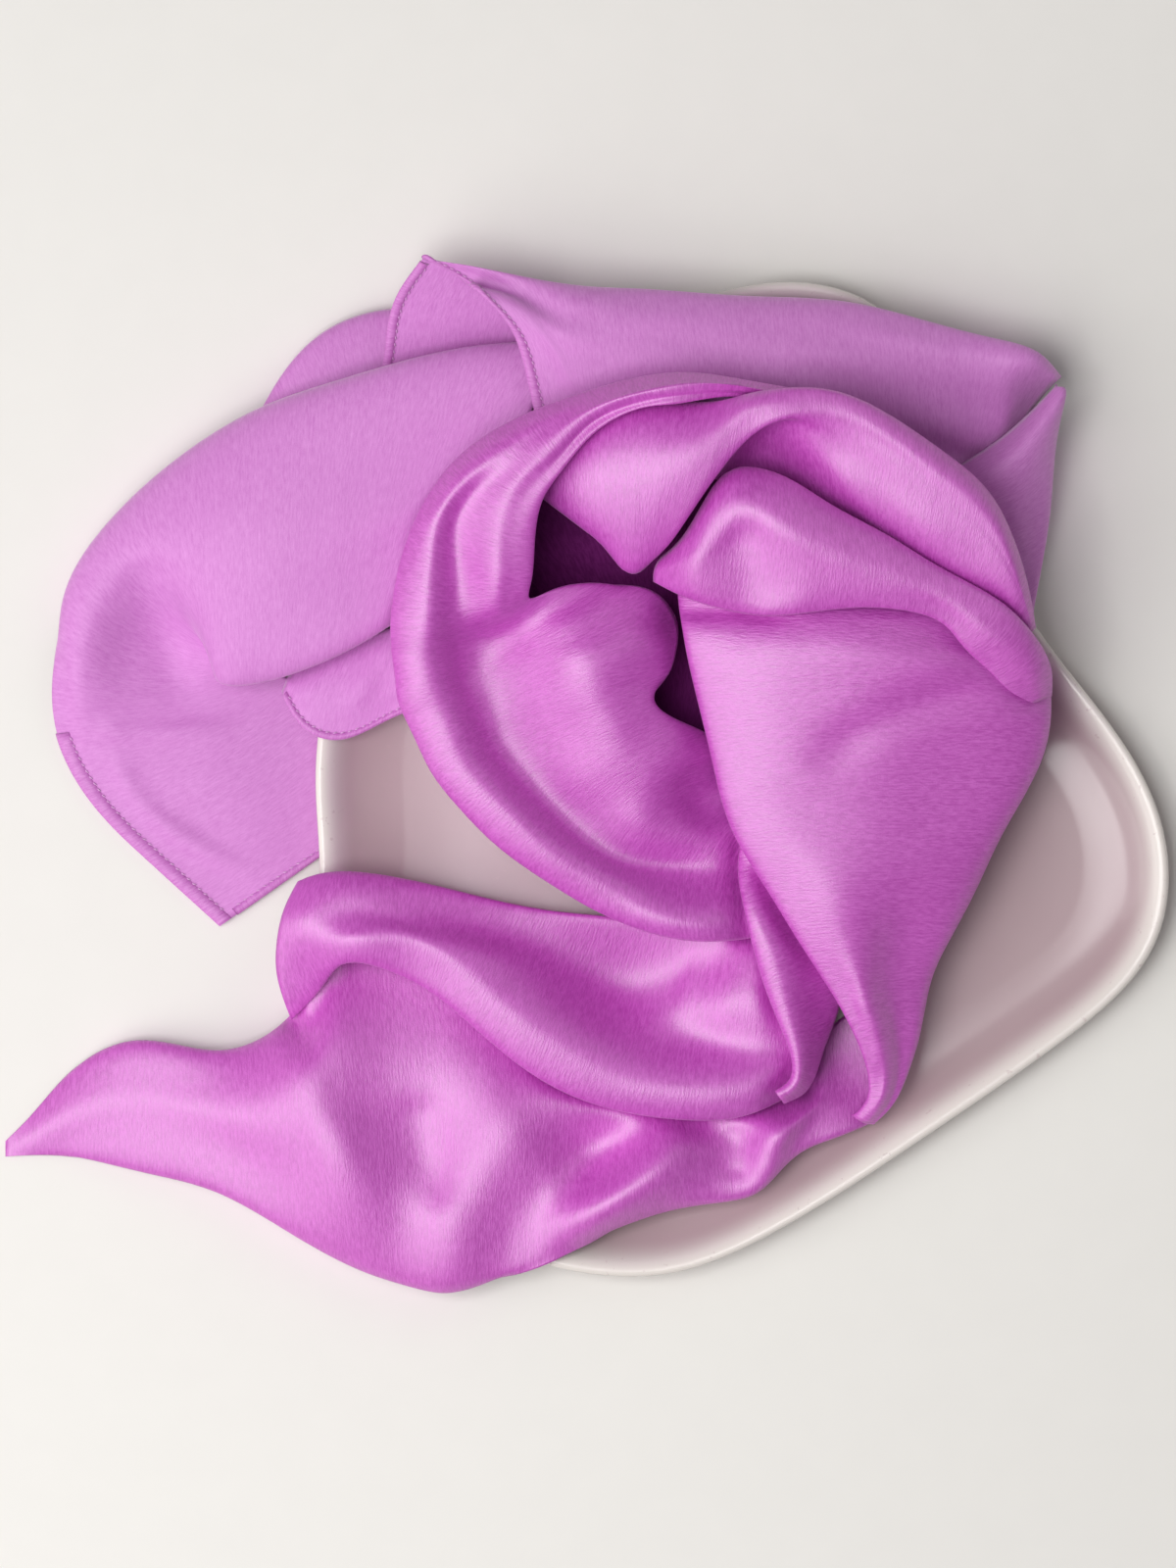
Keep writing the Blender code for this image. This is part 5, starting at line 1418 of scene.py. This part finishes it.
@dataclass(frozen=True)
class Silk:
    """Crepe satin: fine streaks across the stretch, and a soft sheen.

    The cells are so many to a metre across the stretch, and along it.
    """

    name: str
    deep: Colour
    body: Colour
    bright: Colour
    roughness: float
    streak: float
    sheen_roughness: float
    roughness_spread: float = 0.2
    specular: float = 0.5
    ior: float = 1.5
    sheen: float = 0.4
    sheen_tint: Colour = (1.0, 0.86, 1.0)
    bump: float = 0.0002
    bump_strength: float = 0.7
    streak_cells: tuple[float, float] = (270.0, 1450.0)
    slub_cells: tuple[float, float] = (60.0, 450.0)
    grain_cells: tuple[float, float] = (2100.0, 2600.0)
    cloud_cells: tuple[float, float] = (11.0, 26.0)
    shares: tuple[float, float, float] = (0.62, 0.18, 0.20)  # of streaks, slubs and grain in the crepe

    def make(self) -> Finish:
        """Makes its material.

        Returns:
            The material.
        """
        graph = Graph(self.name)
        streak = graph.noise(graph.weave_at(*self.streak_cells), 1.0, 3.0, 0.6)
        slub = graph.noise(graph.weave_at(*self.slub_cells), 1.0, 2.0)
        grain = graph.noise(graph.weave_at(*self.grain_cells), 1.0, 1.0)
        cloud = graph.noise(graph.weave_at(*self.cloud_cells), 1.0, 2.0)
        crepe = streak * self.shares[0] + slub * self.shares[1] + grain * self.shares[2]
        tone = graph.spread(crepe, 0.5 - self.streak, 0.5 + self.streak)
        worn = 0.3 + 0.2 * graph.spread(cloud, 0.2, 0.8)
        return graph.finished({
            "Base Color": graph.mix(worn, graph.mix(tone, self.deep, self.bright), self.body),
            "Roughness": self.roughness + self.roughness_spread * (crepe - 0.5),
            "Specular IOR Level": self.specular,
            "IOR": self.ior,
            "Sheen Weight": self.sheen,
            "Sheen Roughness": self.sheen_roughness,
            "Sheen Tint": (*self.sheen_tint, 1.0),
            "Normal": graph.bump(crepe, self.bump_strength, self.bump),
        })


@dataclass(frozen=True)
class Thread:
    """Silk sewing thread, twisted."""

    name: str
    colour: Colour
    shade: Colour

    def make(self) -> Finish:
        """Makes its material.

        Returns:
            The material.
        """
        graph = Graph(self.name)
        twist = graph.noise(graph.place(), 900.0, 2.0)
        colour = graph.mix(twist, self.shade, self.colour)
        return graph.finished({"Base Color": colour, "Roughness": 0.5, "Sheen Weight": 0.3})


@dataclass(frozen=True)
class Glaze:
    """Glossy off-white glaze, a little cloudy, with painted shade and painted pink light from the silk low in
    the dish's well.
    """

    name: str
    rim: Colour
    well: Colour
    speck: Colour
    roughness: float
    painted_shade_heights: tuple[float, float] = (0.0095, 0.0155)  # heights between which the painted shade of the well fades

    def make(self) -> Finish:
        """Makes its material.

        Returns:
            The material.
        """
        graph = Graph(self.name)
        place = graph.place()
        cloud, fine = graph.noise(place, 14.0, 3.0), graph.noise(place, 420.0, 2.0)
        height = graph.node("ShaderNodeSeparateXYZ", {0: place}, 2)
        # Towards the bottom of the dish the glaze is darkened and pinked: painted shade and painted pink
        # light from the silk, mixed with the glaze's own cloudiness.
        down = 1 - graph.spread(height, *self.painted_shade_heights)
        base = graph.mix(down * (0.75 + 0.25 * cloud), self.rim, self.well)
        return graph.finished({
            "Base Color": graph.mix(graph.spread(fine, 0.66, 0.74) * 0.35, base, self.speck),
            "Roughness": self.roughness + 0.08 * cloud,
            "Specular IOR Level": 0.5,
            "Normal": graph.bump(cloud * 0.7 + fine * 0.02, 0.25, 0.0006),
        })


@dataclass(frozen=True)
class TableTop:
    """Plain pale matte table."""

    name: str
    colour: Colour
    pale: float = 1.03

    def make(self) -> Finish:
        """Makes its material.

        Returns:
            The material.
        """
        graph = Graph(self.name)
        grain = graph.noise(graph.place(), 60.0, 3.0)
        pale = tuple(min(1.0, part * self.pale) for part in self.colour)
        return graph.finished({"Base Color": graph.mix(grain, self.colour, pale), "Roughness": 0.55})


SILK_FACE = Silk(
    name="orchid_satin", deep=(0.45, 0.022, 0.40), body=(0.58, 0.048, 0.52), bright=(0.70, 0.12, 0.65),
    roughness=0.50, roughness_spread=0.3, specular=0.8, ior=1.95, sheen=0.16, sheen_roughness=0.35,
    sheen_tint=(1.0, 0.70, 1.0), streak=0.13, bump=0.00046,
)
SILK_REVERSE = Silk(
    name="orchid_crepe", deep=(0.52, 0.14, 0.50), body=(0.64, 0.21, 0.62), bright=(0.76, 0.33, 0.74),
    roughness=0.56, sheen_roughness=0.45, streak=0.24, bump=0.00022,
)
# A dark copy of the face silk for the hidden layers seen through the heap's hole: painted shade standing in
# for the darkness deep in the hole.
SILK_SHADED = Silk(
    name="orchid_satin_painted_shade", deep=(0.14, 0.008, 0.12), body=(0.20, 0.013, 0.175),
    bright=(0.27, 0.03, 0.24), roughness=0.7, specular=0.1, ior=1.4, sheen=0.0, sheen_roughness=0.5,
    sheen_tint=(1.0, 0.6, 1.0), streak=0.14,
)
SILK_HEM = Silk(
    name="orchid_hem", deep=(0.46, 0.09, 0.43), body=(0.60, 0.17, 0.57), bright=(0.74, 0.32, 0.71),
    roughness=0.5, sheen_roughness=0.4, streak=0.2,
)
THREAD = Thread(name="pale_orchid_thread", colour=(0.80, 0.48, 0.78), shade=(0.55, 0.22, 0.53))
# The well colour is painted shade and painted pink light from the silk, not the glaze's own colour.
GLAZE = Glaze(
    name="pale_pink_glaze", rim=(0.79, 0.73, 0.69), well=(0.42, 0.285, 0.315), speck=(0.50, 0.36, 0.38),
    roughness=0.16,
)
TABLE_TOP = TableTop(name="pale_table", colour=(0.80, 0.78, 0.745))


def dress(piece: Piece, node: Optional[str]) -> None:
    """Fits a piece to the frame.

    Args:
        piece: The piece.
        node: The node that it stands for, if any.
    """
    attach(piece, BODY)
    if node:
        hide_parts(node)
    LOG.info("%s: %d faces, for %s", piece.name, len(piece.data.polygons), node or "no node")


@dataclass
class Scarf:
    """The whole scarf: its stretches from the top of the heap down, its hems, and its hidden layers."""

    hems: Sequence[Hem]
    core: Core
    corner_stretch: str = "drape_left"
    corner_up: float = 6.0
    stretches: list[Stretch] = field(default_factory=list)

    def __post_init__(self) -> None:
        """Reads its stretches."""
        for name, side, held, rests_on in table_rows(STRETCHES):
            self.stretches.append(Stretch(name, Side[side], Held[held], rests_on.split("/")))

    def skins(self, floor: PlanMap) -> dict[str, Skin]:
        """Works out every stretch's surface, each pressed under those above it.

        Args:
            floor: The height on which the scarf lies.

        Returns:
            The surfaces by the stretches' names.
        """
        presses, creases = table_rows(PRESSES), table_rows(CREASES)
        made: dict[str, Skin] = {}
        for stretch in self.stretches:
            skin = stretch.loft()
            skin.shape([Crease(*row) for name, *row in creases if name == stretch.name], Undulation())
            ceiling = PlanMap.level(NO_LIMIT)
            for lower, uppers, start, stop in presses:
                for upper in uppers.split("/") if lower == stretch.name else ():
                    ceiling.lowered_to(filled((made[upper].points, made[upper].back()), start, stop))
            ceiling = ceiling.spread_down(PRESS.margin, 0.0).spread_down(PRESS.spread, PRESS.slope)
            skin.press(ceiling, floor, self.corner_up if stretch.name == self.corner_stretch else 0.0)
            made[stretch.name] = skin
        return made

    def make_core(self, skins: Iterable[Skin], floor: PlanMap, dish: Dish) -> None:
        """Makes and dresses the hidden layers.

        Args:
            skins: The surfaces over them.
            floor: The height on which they lie.
            dish: The dish that they lie in.
        """
        over = PlanMap.level(NO_LIMIT)
        for skin in skins:
            over.lowered_to(filled((skin.points, skin.back())))
        surface, weave = self.core.shell(over, floor, dish)
        # the hidden layers take the darkened silk, painted shade for the deep hole
        core = self.core.make(surface, weave, SILK_SHADED.make())
        dress(core, "core")
        steps, rings = gaps(surface), gaps(surface, 1)

    def make(self, floor: PlanMap, dish: Dish) -> None:
        """Makes and dresses every piece of it.

        Args:
            floor: The height on which it lies.
            dish: The dish that it lies in.
        """
        finishes = {Side.FACE: SILK_FACE.make(), Side.REVERSE: SILK_REVERSE.make()}
        hem_finish, thread = SILK_HEM.make(), THREAD.make()
        skins = self.skins(floor)
        self.make_core(skins.values(), floor, dish)
        for stretch in self.stretches:
            skin = skins[stretch.name]
            piece = skin.make(finishes[stretch.side])
            dress(piece, stretch.name)
            trims = []
            for hem in self.hems:
                if hem.stretch == stretch.name:
                    roll = hem.make_roll(skin, hem_finish)
                    dress(roll, hem.name)
                    stitches = hem.make_stitches(skin, thread)
                    dress(stitches, None)
                    trims += [roll, stitches]
            width, length, area = skin.cut()
            list(stretch.rests_on)


@dataclass
class Studio:
    """A plain pale table, soft light from the left and above, and a camera straight above."""

    height: float = 4.0
    seen: float = 0.56  # how much the picture's long side sees of the table
    sensor: float = 36.0
    table_size: float = 6.0
    table_up: float = -0.0006
    far_limit: float = 50.0
    room_tint: Colour = (0.95, 0.96, 1.0)
    room_strength: float = 0.17
    # each soft light: name, place, side of its square, power in watts, tint
    lights: tuple[tuple[str, Colour, float, float, Colour], ...] = (
        ("window", (-1.3, -0.6, 1.2), 1.9, 26.0, (1.0, 0.985, 0.965)),
        ("overhead", (-0.45, -0.12, 1.9), 0.9, 18.0, (1.0, 1.0, 1.0)),
        ("far_wall", (0.9, 0.8, 0.9), 1.0, 2.2, (1.0, 0.98, 0.95)),
    )

    def make_table(self, finish: Finish) -> None:
        """Makes the table.

        Args:
            finish: Its material.
        """
        half = self.table_size / 2
        corners = [(-half, -half, 0), (half, -half, 0), (half, half, 0), (-half, half, 0)]
        mesh = bpy.data.meshes.new("table_top")
        mesh.from_pydata(corners, [], [(0, 1, 2, 3)])
        mesh.materials.append(finish)
        table = bpy.data.objects.new("table_top", mesh)
        table.location.z = self.table_up
        bpy.context.scene.collection.objects.link(table)

    def make_light(self, name: str, place: Colour, size: float, power: float, tint: Colour) -> None:
        """Makes one soft light that faces the heap.

        Args:
            name: Its name.
            place: Where it stands, in metres.
            size: The side of its square, in metres.
            power: Its power in watts.
            tint: Its colour.
        """
        lamp = bpy.data.lights.new(name, "AREA")
        lamp.shape, lamp.size, lamp.energy, lamp.color = "SQUARE", size, power, tint
        light = bpy.data.objects.new(name, lamp)
        light.location = place
        light.rotation_euler = (-Vector(place)).to_track_quat("-Z", "Y").to_euler()
        bpy.context.scene.collection.objects.link(light)

    def make_world(self) -> None:
        """Makes the even light of the room."""
        world = bpy.data.worlds.new("pale_room")
        world.use_nodes = True
        sky = world.node_tree.nodes["Background"]
        sky.inputs["Color"].default_value = (*self.room_tint, 1.0)
        sky.inputs["Strength"].default_value = self.room_strength
        bpy.context.scene.world = world

    def make_camera(self) -> None:
        """Makes the camera, straight above the middle of the tables' plan."""
        lens = bpy.data.cameras.new("overhead_camera")
        lens.sensor_width = self.sensor
        lens.lens = self.sensor * self.height / self.seen
        lens.clip_end = self.far_limit
        camera = bpy.data.objects.new("overhead_camera", lens)
        camera.location = (-PLAN_MIDDLE[0] * MM, -PLAN_MIDDLE[1] * MM, self.height)
        bpy.context.scene.collection.objects.link(camera)
        bpy.context.scene.camera = camera

    def make(self) -> None:
        """Makes all of it."""
        self.make_table(TABLE_TOP.make())
        for light in self.lights:
            self.make_light(*light)
        self.make_world()
        bpy.context.scene.view_settings.view_transform = "Standard"
        self.make_camera()


def main() -> None:
    """Builds the dish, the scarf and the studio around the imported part."""
    logging.basicConfig(level=logging.INFO, format="%(name)s: %(message)s", stream=sys.stdout)
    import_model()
    Studio().make()
    dish = Dish(DISH_OUTLINE, DISH_WALL)
    floor = dish.floor()
    dress(dish.make(GLAZE.make()), "dish")
    Scarf(HEMS, Core(CORE_OUTLINE)).make(floor, dish)


if __name__ == "__main__":
    main()
